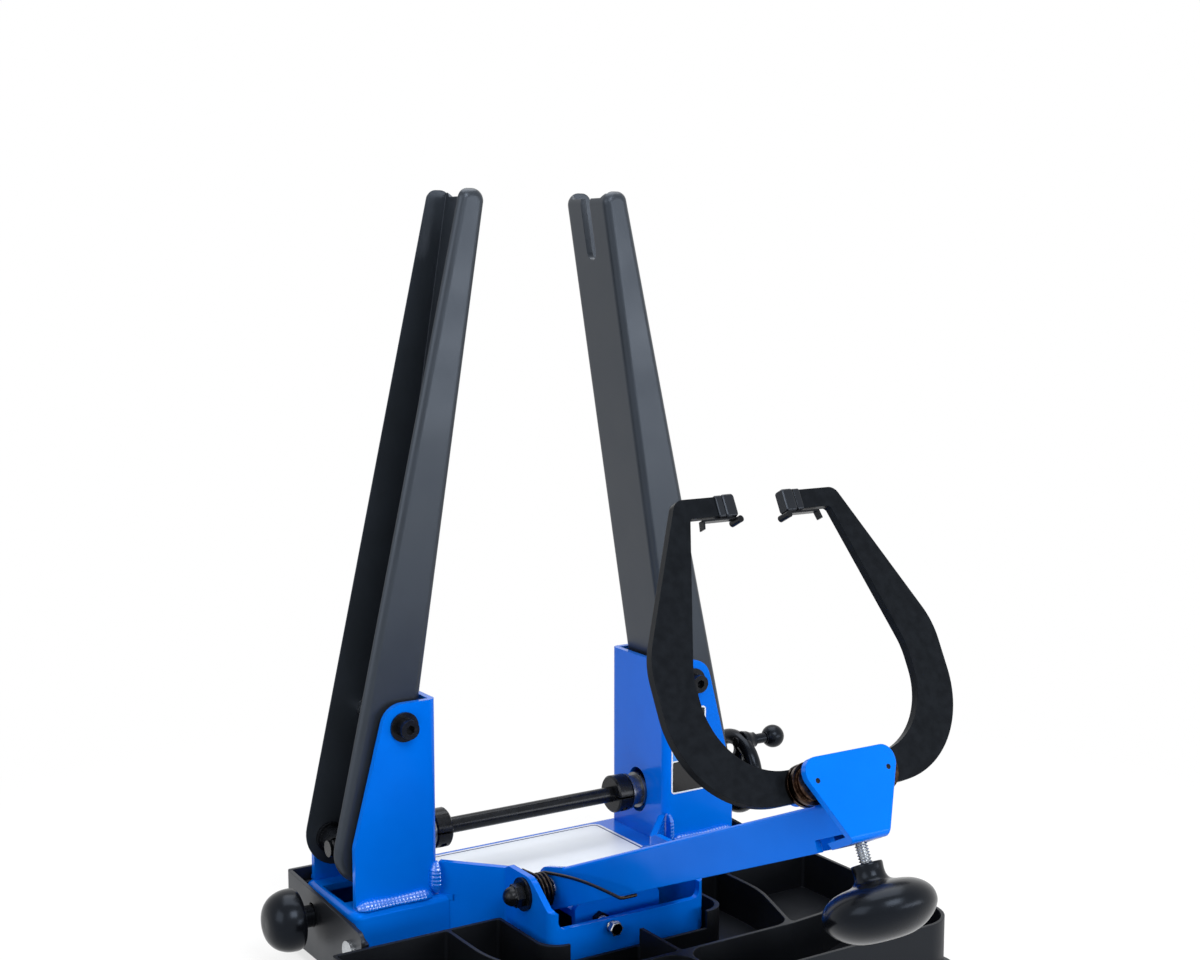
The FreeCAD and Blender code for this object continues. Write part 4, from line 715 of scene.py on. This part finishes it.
@dataclass
class CaliperKnob:
    """The big adjusting knob, with its screw, whose thread is drawn coarser than real to show."""

    axis_out: float = 6.0 * MM
    pitch: float = 1.75 * MM
    depth: float = 0.95 * MM
    thread_low: float = -52.0 * MM
    screw_low: float = -82.0 * MM
    outline: tuple[tuple[float, float], ...] = (
        (0.8, -91.2), (8.0, -91.1), (16.0, -90.0), (23.5, -87.0), (29.7, -82.4), (33.4, -77.4),
        (34.3, -73.0), (33.2, -68.3), (29.8, -64.0), (24.6, -60.7), (19.0, -59.0), (14.2, -58.2),
        (11.2, -57.0), (9.7, -54.6), (9.3, -51.6), (9.5, -48.4), (9.5, -46.9), (8.9, -46.2), (6.0, -46.0),
        (0.8, -46.0))

    def build(self) -> None:
        """Turns the knob's body with its flared neck, and cuts the thread of its screw."""
        axes = axes_along(JAW_HEAD.point(0.0, self.axis_out, 0.0), JAW_HEAD.up)
        profile = flowing_curve(np.array(self.outline) * MM, 6)
        ride_and_slot(lathe("caliper_knob_body", axes, profile), "knob", POLISHED_PHENOLIC, "caliper_knob")
        box = box_of("caliper_screw")
        radius = box.size[0] / 2.0
        top = float(np.dot(box.high - axes.origin, axes.third)) - 2.0 * radius * JAW_HEAD.up[1]
        start = axes.origin + axes.third * self.screw_low
        rod = screw_thread("caliper_screw_thread", axes_along(start, JAW_HEAD.up), top - self.screw_low,
                           radius, self.pitch, self.depth, Hand.RIGHT,
                           (self.thread_low - self.screw_low, top - self.screw_low), steps=10)
        ride_and_slot(rod, "knob", BRIGHT_ZINC, "caliper_screw")


@dataclass
class TiltKnob:
    """Round clamp knob on the left cheek, domed outside with a turned step round its rim."""

    outline: tuple[tuple[float, float], ...] = (
        (0.6, -11.7), (7.9, -11.7), (8.0, -11.2), (8.0, -0.6), (8.6, 0.0), (20.6, 0.0), (21.9, 0.6),
        (22.5, 2.4), (22.5, 5.6), (22.2, 8.6), (21.3, 12.0), (19.6, 15.8), (17.1, 19.0), (13.4, 21.8),
        (8.6, 23.5), (4.0, 24.0), (0.6, 24.0))
    start_x: float = -193.0 * MM

    def build(self) -> None:
        """Turns the knob about the clamp stud."""
        axes = axes_along((self.start_x, *box_of("left_tilt_knob").middle[1:]), (-1.0, 0.0, 0.0))
        profile = flowing_curve(np.array(self.outline) * MM, 4)
        ride_and_slot(lathe("tilt_knob_body", axes, profile), "tilt_knob", POLISHED_PHENOLIC,
                      "left_tilt_knob")


@dataclass
class CrankHandle:
    """The ball on the crank wheel's handle, turned with a short neck."""

    radius: float = 9.5 * MM
    neck_radius: float = 4.9 * MM
    neck_length: float = 8.7 * MM
    pole: float = 0.05

    def build(self) -> None:
        """Turns the ball: radius R sin t at height -R cos t, with a short straight neck below it."""
        box = box_of("crank_ball_knob")
        centre = (box.high[0] - self.radius, *box.middle[1:])
        angle = np.linspace(math.asin(self.neck_radius / self.radius), math.pi - self.pole, 40)
        ball = np.stack([self.radius * np.sin(angle), -self.radius * np.cos(angle)], axis=-1)
        neck = ((AXIS_GAP, -self.neck_length), (self.neck_radius, -self.neck_length))
        profile = np.concatenate([neck, ball])
        piece = lathe("crank_ball_body", axes_along(centre, Direction.RIGHT.value), profile, 64)
        ride_and_slot(piece, "crank_ball", POLISHED_PHENOLIC, "crank_ball_knob")


@dataclass
class CrankWheel:
    """Moulded hand wheel: a round rim, a hub, three flared spokes and the boss of the handle."""

    rim_radius: float = 28.8 * MM
    tube: float = 6.3 * MM
    hub_radius: float = 11.5 * MM
    hub_length: float = 17.0 * MM
    hub_edge: float = 1.2 * MM
    spokes: int = 3
    handle_angle: float = math.radians(110.0)
    spoke_half: tuple[float, float] = (4.6 * MM, 3.2 * MM)
    flare: float = 4.5 * MM
    spread: float = 0.45
    root: float = 0.75
    sunk: float = 0.4
    boss: tuple[tuple[float, float], ...] = (
        (0.6, 0.0), (8.1, 0.0), (8.3, 3.2), (8.0, 5.4), (7.2, 7.4), (6.4, 9.6), (6.0, 12.2), (5.7, 12.6),
        (0.6, 12.6))

    def build(self) -> None:
        """Makes the rim, whose point is at radius R + r cos u and height r sin u, then what it carries."""
        turn = np.array((0.0, math.cos(self.handle_angle), math.sin(self.handle_angle)))
        hub_x = box_of("crank_wheel").low[0] + self.hub_length / 2.0
        foot = np.array((hub_x, *box_of("crank_stem").middle[1:]))
        centre = foot - self.rim_radius * turn
        axes = axes_along(centre, Direction.RIGHT.value)
        profile = self.tube * circle(32) + np.array((self.rim_radius, 0.0))
        rim = lathe("crank_rim", axes, profile, 128, ring=True)
        ride_and_slot(rim, "screw", POLISHED_PHENOLIC, "crank_wheel")
        half = self.hub_length / 2.0
        hub = disc_profile(self.hub_radius, -half, half, self.hub_edge, self.hub_edge)
        ride_and_slot(lathe("crank_hub", axes, hub), "screw", POLISHED_PHENOLIC)
        for k in range(self.spokes):
            angle = self.handle_angle + 2.0 * math.pi * k / self.spokes
            self._spoke(f"crank_spoke_{k + 1}", centre, np.array((0.0, math.cos(angle), math.sin(angle))))
        boss = flowing_curve(np.array(self.boss) * MM, 5)
        piece = lathe("crank_handle_boss", axes_along(foot, Direction.RIGHT.value), boss, 64)
        ride_and_slot(piece, "screw", POLISHED_PHENOLIC)

    def _spoke(self, name: str, centre: np.ndarray, way: np.ndarray) -> None:
        """Makes one spoke, whose ellipse grows by a share exp(-s / flare) toward both of its ends.

        Args:
            name: The piece's name.
            centre: Middle of the wheel.
            way: Direction of the spoke.
        """
        reach = np.linspace(self.hub_radius * self.root, self.rim_radius - self.tube * self.sunk, 28)
        near = np.maximum(np.minimum(reach - self.hub_radius, self.rim_radius - self.tube - reach), 0.0)
        section = circle(28)[::-1] * np.array(self.spoke_half)
        right = Direction.RIGHT.vector
        piece = swept_tube(name, centre + reach[:, None] * way, np.cross(right, way), right, section,
                           1.0 + self.spread * np.exp(-near / self.flare))
        ride_and_slot(piece, "screw", POLISHED_PHENOLIC)


@dataclass
class AcornNut:
    """Domed cap nut on the arm's pivot bolt."""

    flat_length: float = 7.0 * MM
    dome_radius: float = 7.05 * MM
    bevel: float = 0.7 * MM
    pole: float = 0.06

    def build(self) -> None:
        """Forms the six sided nut and turns its dome: radius R cos t at height R sin t."""
        box = box_of("acorn_nut")
        axes = axes_along((box.high[0], *box.middle[1:]), (-1.0, 0.0, 0.0))
        flat = disc_profile(box.size[2] / 2.0, 0.0, self.flat_length, self.bevel, self.bevel * 0.6)
        ride_and_slot(lathe("acorn_nut_body", axes, flat, 6), "stand", BLACK_OXIDE, "acorn_nut")
        t = np.linspace(0.0, math.pi / 2.0 - self.pole, 24)
        dome = np.stack([self.dome_radius * np.cos(t), self.flat_length + self.dome_radius * np.sin(t)],
                        axis=-1)
        base = self.flat_length - self.bevel
        profile = np.concatenate([((AXIS_GAP, base), (self.dome_radius, base)), dome])
        ride_and_slot(lathe("acorn_nut_dome", axes, profile, 64), "stand", BLACK_OXIDE)


@dataclass
class StopScrew:
    """Arm stop: a zinc plated bolt with its thread, head at the front."""

    pitch: float = 1.25 * MM
    depth: float = 0.75 * MM
    radius: float = 4.0 * MM
    head_length: float = 5.0 * MM
    edge: float = 0.5 * MM

    def build(self) -> None:
        """Cuts the thread and forms the six sided head."""
        box = box_of("stop_screw")
        axes = axes_along((box.middle[0], box.low[1], box.middle[2]), Direction.AWAY.value)
        rod = screw_thread("stop_screw_thread", axes, box.size[1], self.radius, self.pitch, self.depth,
                           steps=10)
        ride_and_slot(rod, "stand", BRIGHT_ZINC, "stop_screw")
        head = disc_profile(box.size[0] / 2.0, 0.0, self.head_length, self.edge, self.edge)
        ride_and_slot(lathe("stop_screw_head", axes, head, 6), "stand", BRIGHT_ZINC)


@dataclass
class ReturnSpring:
    """Torsion spring of the caliper arm: three close turns, a bowed leg with a hook and a short tail."""

    wire: float = 1.2 * MM
    coil: float = 11.6 * MM
    turns: int = 3
    pitch: float = 3.2 * MM
    start_x: float = -46.7 * MM
    leg_reach: float = 98.0 * MM
    leg_drop: float = 17.1 * MM
    bow: float = 2.6 * MM
    hook: float = 9.5 * MM
    bend: float = 2.6 * MM
    tail: float = 16.0 * MM

    def _path(self) -> tuple[np.ndarray, np.ndarray]:
        """Middle line of the wire, and a direction across it at each point.

        The leg lies on a sine bow between the hook and the coil, the coil point at turn t is
        (pitch t / 2 pi, R cos(a + t), R sin(a + t)), and the tail leaves it straight.

        Returns:
            The points and the matching directions.
        """
        plane, right = ARM_PLANE, Direction.RIGHT.vector
        span = math.hypot(self.leg_reach, self.leg_drop)
        dip = math.atan2(self.leg_drop, self.leg_reach) + math.asin(self.coil / span)
        leave = math.pi / 2.0 - dip
        hook_at = plane.point(self.start_x, self.leg_reach, -self.leg_drop)
        top = plane.point(self.start_x, self.coil * math.cos(leave), self.coil * math.sin(leave))
        way = unit(hook_at - top)
        across = np.cross(way, right)
        across = across * math.copysign(1.0, float(np.dot(across, plane.up)))
        length = float(np.linalg.norm(hook_at - top)) - self.bend
        corner = hook_at + self.bend * (right - way)
        turn = quarter(8)[-2:0:-1]
        rounded = corner + self.bend * (turn[:, 1:] * way - turn[:, :1] * right)
        tip = corner + self.bend * way + np.linspace(self.hook, 0.0, 7)[:, None] * right
        share = np.linspace(1.0, 0.0, 48)[:, None]
        leg = top + way * length * share + across * self.bow * np.sin(math.pi * share)
        t = np.linspace(0.0, 2.0 * math.pi * self.turns, 48 * self.turns)[1:]
        radial = np.cos(leave + t)[:, None] * plane.out + np.sin(leave + t)[:, None] * plane.up
        middle = plane.point(self.start_x - self.pitch * t / (2.0 * math.pi), 0.0 * t, 0.0 * t)
        coil = middle + self.coil * radial
        tail = coil[-1] + np.linspace(0.0, self.tail, 9)[1:, None] * unit(coil[-1] - coil[-2])
        lead = np.tile(across, (len(tip) + len(rounded) + len(leg), 1))
        last = np.tile(radial[-1], (len(tail), 1))
        return np.concatenate([tip, rounded, leg, coil, tail]), np.concatenate([lead, radial, last])

    def build(self) -> None:
        """Carries the round wire along its line."""
        path, reference = self._path()
        tangent = unit(np.gradient(path, axis=0))
        side = unit(np.cross(reference, tangent))
        piece = swept_tube("arm_return_spring", path, side, np.cross(tangent, side), circle(16) * self.wire)
        ride_and_slot(piece, "stand", MUSIC_WIRE, "arm_spring")


@dataclass
class FingerCaps:
    """Moulded caps over the caliper fingers, each in two halves that meet at a seam."""

    start_x: float = 33.0 * MM
    seam_x: float = 27.5 * MM
    end_x: float = 19.0 * MM
    low: float = 173.3 * MM
    high: float = 188.2 * MM
    half_thickness: float = 4.2 * MM
    corner: float = 1.6 * MM
    seam: float = 0.35 * MM
    sleeve_size: float = 0.955
    sleeve_fall: float = 0.3
    rounding: float = 0.16
    taper: float = 0.10

    def build(self) -> None:
        """Makes the sleeve half and the nose half on both fingers, tapered toward their ends."""
        middle, half = (self.high + self.low) / 2.0, (self.high - self.low) / 2.0
        section = rounded_rectangle((-self.half_thickness, -half), (self.half_thickness, half),
                                    self.corner, 6)
        halves = (("sleeve", self.start_x, self.seam_x + self.seam, self.sleeve_size,
                   self.sleeve_fall),
                  ("nose", self.seam_x, self.end_x, 1.0, 1.0))
        for side, sign in SIDES:
            for part, x0, x1, size, fall in halves:
                x = np.linspace(x0, x1, 15)
                near_end = np.minimum(np.abs(x - x0), np.abs(x - x1) / fall) / abs(x1 - x0)
                scale = size * (1.0 - self.taper * np.clip(1.0 - near_end / self.rounding, 0.0, 1.0) ** 2)
                path = JAW_HEAD.point(sign * x, 0.0 * x, middle + 0.0 * x)
                piece = swept_tube(f"{side}_jaw_cap_{part}", path, JAW_HEAD.out, JAW_HEAD.up,
                                   section[::int(sign)], scale)
                nodes = (f"{side}_tip",) if part == "nose" else ()
                ride_and_slot(piece, f"{side}_jaw", MOULDED_NYLON, *nodes)


@dataclass
class CornerReturns:
    """Short returns of the bench base's cheeks round its back corners, up to the cheeks' height."""

    width: float = 46.0 * MM
    sheet: float = 3.0 * MM
    bend: float = 2.6 * MM
    cheek_x: float = 181.0 * MM
    back_y: float = 151.0 * MM
    wall_top: float = 44.0 * MM
    lap: float = 1.0 * MM
    slope: float = 9.0 * MM
    slope_from: float = 0.55

    def build(self) -> None:
        """Makes each return as a flat strip with a bent end, whose free corner slopes down."""
        bend_at = np.array((self.cheek_x - self.bend, self.back_y - self.bend))
        free_x, inner_y = self.cheek_x - self.width, self.back_y - self.sheet
        inner_x = self.cheek_x - self.sheet
        plan = np.concatenate([bend_at + self.bend * quarter(8),
                               ((free_x, self.back_y), (free_x, inner_y), (inner_x, inner_y),
                                (inner_x, bend_at[1]), (self.cheek_x, bend_at[1]))])
        foot = self.wall_top - self.lap
        z = foot + np.array((0.0, self.slope_from, 1.0)) * (box_of("bench_base").high[2] - foot)
        free = plan[:, 0] < free_x + self.sheet
        x = plan[:, 0] + np.array((0.0, 0.0, self.slope))[:, None] * free
        for side, sign in SIDES:
            points = np.stack(np.broadcast_arrays(sign * x, plan[:, 1], z[:, None]), axis=-1)
            piece = mesh_piece(f"{side}_corner_return", points[:, ::int(sign)],
                               skin_grid(len(z), len(plan)))
            ride_and_slot(piece, "bench", BENCH_BLACK_COAT)


@dataclass
class WeldSeams:
    """Gas shielded weld beads with their ripples, painted over."""

    size: float = 6.2 * MM
    ripple: float = 2.8 * MM
    swell: float = 0.045
    wander: float = 0.07
    end_size: float = 0.35
    crown: float = 0.95
    sink: float = 0.8 * MM
    box_top: float = 79.0 * MM
    box_inset: float = 1.5 * MM
    box_lift: float = 1.0 * MM

    def _bead(self, name: str, start: np.ndarray, end: np.ndarray, out: np.ndarray, rise: np.ndarray) -> None:
        """Makes one bead: a fillet shaped section whose size swells at each ripple.

        The size follows 1 + swell * |sin(pi s / ripple)| along the path, and the crown wanders slightly.

        Args:
            name: The piece's name.
            start: First point of the corner that it fills.
            end: Last point of the corner.
            out: Direction away from the upright wall.
            rise: Direction up the wall.
        """
        length = float(np.linalg.norm(end - start))
        rows = max(int(length / (self.ripple / 8.0)), 8)
        s = np.linspace(0.0, length, rows)
        path = start + (end - start) * (s / length)[:, None]
        ends = np.sqrt(np.clip(np.minimum(s, length - s) / self.size, 0.0, 1.0))
        wave = self.swell * np.abs(np.sin(math.pi * s / self.ripple)) + self.wander * np.sin(s / self.size)
        back = -self.sink / self.size
        section = np.concatenate([((back, back),), self.crown * quarter(9)])
        if np.dot(np.cross(out, rise), end - start) < 0.0:
            section = section[::-1]
        scale = self.size * (1.0 + wave) * (self.end_size + (1.0 - self.end_size) * ends)
        ride_and_slot(swept_tube(name, path, out, rise, section, scale), "stand", BLUE_WELD_COAT)

    def build(self) -> None:
        """Makes the beads along the feet of the pedestals and up the ends of the front box."""
        right, away, up = (direction.vector for direction in Direction)
        foot, top = box_of("right_pedestal"), box_of("base_pan").high[2]
        for side, sign in SIDES:
            for place, y, out in (("front", foot.low[1], -away), ("back", foot.high[1], away)):
                start = np.array((sign * (foot.low[0] + self.size), y, top))
                end = np.array((sign * foot.high[0], y, top))
                self._bead(f"{side}_{place}_weld", start, end, out, up)
            corner = np.array((sign * (foot.low[0] + self.box_inset), foot.low[1], top + self.box_lift))
            self._bead(f"{side}_box_weld", corner, corner + (self.box_top - top) * up, sign * right, -away)
        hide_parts("weld_beads")


@dataclass
class PrintedLines:
    """Thin dark line printed round the white mat."""

    inset: float = 3.2 * MM
    width: float = 1.3 * MM
    thickness: float = 0.15 * MM
    mat_corner: float = 8.0 * MM

    def build(self) -> None:
        """Makes a flat ribbon round the back and sides of the mat."""
        mat = box_of("deck_mat")
        turn_at = mat.high[:2] - self.mat_corner
        corner = turn_at + (self.mat_corner - self.inset) * quarter(9)
        start = (mat.high[0] - self.inset, box_of("left_pedestal").low[1])
        right = np.concatenate([(start,), corner])
        line = np.concatenate([right, right[::-1] * np.array((-1.0, 1.0))])
        step = unit(np.gradient(line, axis=0))
        side = np.stack([step[:, 1], -step[:, 0], np.zeros(len(step))], axis=-1)
        path = np.column_stack([line, np.full(len(line), mat.high[2] + self.thickness / 2.0)])
        half = np.array((self.width, self.thickness)) / 2.0
        section = np.array(((-1, 1), (1, 1), (1, -1), (-1, -1))) * half
        ribbon = swept_tube("mat_border_line", path, side, Direction.UP.vector, section)
        ride_and_slot(ribbon, "stand", PRINTED_INK)


@dataclass
class BlankLabel:
    """Blank film label on the front of the right pedestal: white rim, black fields, blue band."""

    width: float = 33.0 * MM
    height: float = 68.0 * MM
    centre_x: float = 122.7 * MM
    centre_z: float = 128.5 * MM
    film: float = 0.12 * MM
    rim: float = 1.3 * MM
    gap: float = 1.1 * MM
    corner: float = 3.0 * MM
    band_from: float = 0.378
    band_to: float = 0.584

    def _plate(self, name: str, low: Sequence[float], high: Sequence[float], lift: float, radius: float,
               finish: Finish) -> None:
        """Makes one rounded film on the pedestal's front.

        Args:
            name: The piece's name.
            low: X and Z of its lower left corner.
            high: X and Z of its upper right corner.
            lift: How far its back stands off the wall.
            radius: Corner radius.
            finish: The finish.
        """
        outline = rounded_rectangle(low, high, radius, 7)
        back = float(box_of("right_pedestal").low[1]) - lift
        y = np.array((back, back - self.film))[:, None]
        points = np.stack(np.broadcast_arrays(outline[:, 0], y, outline[:, 1]), axis=-1)
        ride_and_slot(mesh_piece(name, points, skin_grid(2, len(outline))), "stand", finish)

    def build(self) -> None:
        """Makes the rim film, the two black fields and the band between them."""
        centre, half = np.array((self.centre_x, self.centre_z)), np.array((self.width, self.height)) / 2.0
        low, high = centre - half, centre + half
        (x0, z0), (x1, z1) = low + self.rim, high - self.rim
        lower, upper = low[1] + self.height * self.band_from, low[1] + self.height * self.band_to
        gap, small = self.gap, self.corner / 2.0
        self._plate("label_rim", low, high, 0.0, self.corner, LABEL_WHITE)
        self._plate("label_lower_field", (x0, z0), (x1, lower), self.film, small, LABEL_BLACK)
        self._plate("label_band", (x0, lower + gap), (x1, upper), self.film, gap / 2.0, LABEL_BLUE)
        self._plate("label_upper_field", (x0, upper + gap), (x1, z1), self.film, small, LABEL_BLACK)


@dataclass
class Studio:
    """Camera of the photograph, soft lights, pale floor and white surroundings."""

    camera_place: tuple[float, float, float] = (-0.665, -1.046, 0.515)
    yaw: float = math.radians(32.47)
    pitch: float = math.radians(7.18)
    focal_pixels: float = 1759.0
    frame_pixels: float = 1200.0
    sensor_mm: float = 36.0
    floor_size: float = 12.0
    shadow_reach: float = 0.3
    white_reach: float = 0.75
    near_white: float = 0.7
    soft: float = 0.35
    aim: tuple[float, float, float] = (0.0, 0.0, 0.25)
    # A soft key above the front, a low wide fill, one at the left and one overhead, each with its
    # name, place, width and height, and watts
    lamps: tuple[tuple[str, tuple[float, float, float], tuple[float, float], float], ...] = (
        ("key_softbox", (-0.3, -2.0, 1.8), (1.2, 1.0), 34.0),
        ("low_softbox", (1.1, -2.3, 0.4), (1.8, 0.7), 22.0),
        ("side_softbox", (-2.3, -0.5, 1.1), (1.4, 1.4), 17.0),
        ("top_softbox", (0.2, 0.4, 2.4), (2.0, 2.0), 44.0))

    def camera(self) -> None:
        """Puts the camera where the photograph was taken from."""
        data = bpy.data.cameras.new("photograph_camera")
        data.sensor_fit = "HORIZONTAL"
        data.sensor_width = self.sensor_mm
        data.lens = self.focal_pixels / self.frame_pixels * self.sensor_mm
        data.clip_end = 50.0
        camera = bpy.data.objects.new("photograph_camera", data)
        camera.location = self.camera_place
        camera.rotation_euler = (math.pi / 2.0 - self.pitch, 0.0, -self.yaw)
        bpy.context.scene.collection.objects.link(camera)
        bpy.context.scene.camera = camera

    def lights(self) -> None:
        """Hangs the rectangular lamps, each turned to the aim."""
        for name, place, size, power in self.lamps:
            data = bpy.data.lights.new(name, "AREA")
            data.shape = "RECTANGLE"
            data.size, data.size_y = size
            data.energy = power
            lamp = bpy.data.objects.new(name, data)
            lamp.location = place
            lamp.rotation_euler = (Vector(self.aim) - Vector(place)).to_track_quat("-Z", "Y").to_euler()
            bpy.context.scene.collection.objects.link(lamp)

    def _white_seen(self, tree: bpy.types.NodeTree) -> Any:
        """Socket that is 1 for camera, glossy and transmission rays.

        Args:
            tree: The node tree.

        Returns:
            The output socket.
        """
        rays = add_node(tree, "ShaderNodeLightPath")
        seen = rays.outputs["Is Camera Ray"]
        for kind in ("Is Glossy Ray", "Is Transmission Ray"):
            either = add_node(tree, "ShaderNodeMath", {"operation": "MAXIMUM"},
                              {0: seen, 1: rays.outputs[kind]})
            seen = either.outputs[0]
        return seen

    def world(self) -> None:
        """White surroundings where they are seen, and a plain grey light on the object."""
        world = bpy.data.worlds.new("white_surroundings")
        bpy.context.scene.world = world
        world.use_nodes = True
        tree = world.node_tree
        tree.nodes.clear()
        soft = add_node(tree, "ShaderNodeBackground", {"Color": WHITE, "Strength": self.soft})
        white = add_node(tree, "ShaderNodeBackground", {"Color": WHITE, "Strength": 1.0})
        mix = add_node(tree, "ShaderNodeMixShader", None,
                       {"Fac": self._white_seen(tree), 1: soft.outputs[0], 2: white.outputs[0]})
        add_node(tree, "ShaderNodeOutputWorld", None, {"Surface": mix.outputs[0]})

    def floor(self) -> None:
        """Lays the pale floor, white where it is lit and grey in the stand's shadow."""
        half = self.floor_size / 2.0
        corners = [(-half, -half, 0.0), (half, -half, 0.0), (half, half, 0.0), (-half, half, 0.0)]
        mesh = bpy.data.meshes.new("pale_floor")
        mesh.from_pydata(corners, [], [(0, 1, 2, 3)])
        floor = bpy.data.objects.new("pale_floor", mesh)
        bpy.context.scene.collection.objects.link(floor)
        material = bpy.data.materials.new("pale_floor_paint")
        material.use_nodes = True
        tree = material.node_tree
        tree.nodes.clear()
        paint = add_node(tree, "ShaderNodeBsdfDiffuse", {"Color": linear_colour("F4F4F4")})
        glow = add_node(tree, "ShaderNodeEmission", {"Color": WHITE, "Strength": 1.0})
        place = add_node(tree, "ShaderNodeTexCoord")
        distance = add_node(tree, "ShaderNodeVectorMath", {"operation": "LENGTH"},
                            {0: place.outputs["Object"]})
        share = add_node(tree, "ShaderNodeMapRange",
                         {"From Min": self.shadow_reach, "From Max": self.white_reach,
                          "To Min": self.near_white, "To Max": 1.0}, {"Value": distance.outputs["Value"]})
        seen = add_node(tree, "ShaderNodeMath", {"operation": "MULTIPLY"},
                        {0: self._white_seen(tree), 1: share.outputs["Result"]})
        mix = add_node(tree, "ShaderNodeMixShader", None,
                       {"Fac": seen.outputs[0], 1: paint.outputs[0], 2: glow.outputs[0]})
        add_node(tree, "ShaderNodeOutputMaterial", None, {"Surface": mix.outputs[0]})
        mesh.materials.append(material)

    def build(self) -> None:
        """Sets up the whole studio."""
        bpy.context.scene.view_settings.view_transform = "Standard"
        self.camera()
        self.lights()
        self.world()
        self.floor()


def dress_nodes(nodes: dict[str, bpy.types.Object]) -> None:
    """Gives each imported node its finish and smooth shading.

    Args:
        nodes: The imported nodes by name.
    """
    for name, node in sorted(nodes.items()):
        put_finish(node, NODE_FINISHES[name])
        smooth_shading(node)
        LOG.info("%s dressed in %s", name, NODE_FINISHES[name].name)


def main() -> None:
    """Builds the scene, piece by piece."""
    logging.basicConfig(level=logging.INFO, format="%(message)s")
    for old in list(bpy.data.objects):
        bpy.data.objects.remove(old)
    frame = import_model()
    Studio().build()
    dress_nodes(frame["nodes"])
    for assembly in (SpreaderScrew, CrankWheel, CrankHandle, AcornNut, StopScrew, ReturnSpring,
                     CaliperKnob, TiltKnob, FingerCaps, CornerReturns, WeldSeams, PrintedLines,
                     BlankLabel):
        assembly().build()


if __name__ == "__main__":
    main()
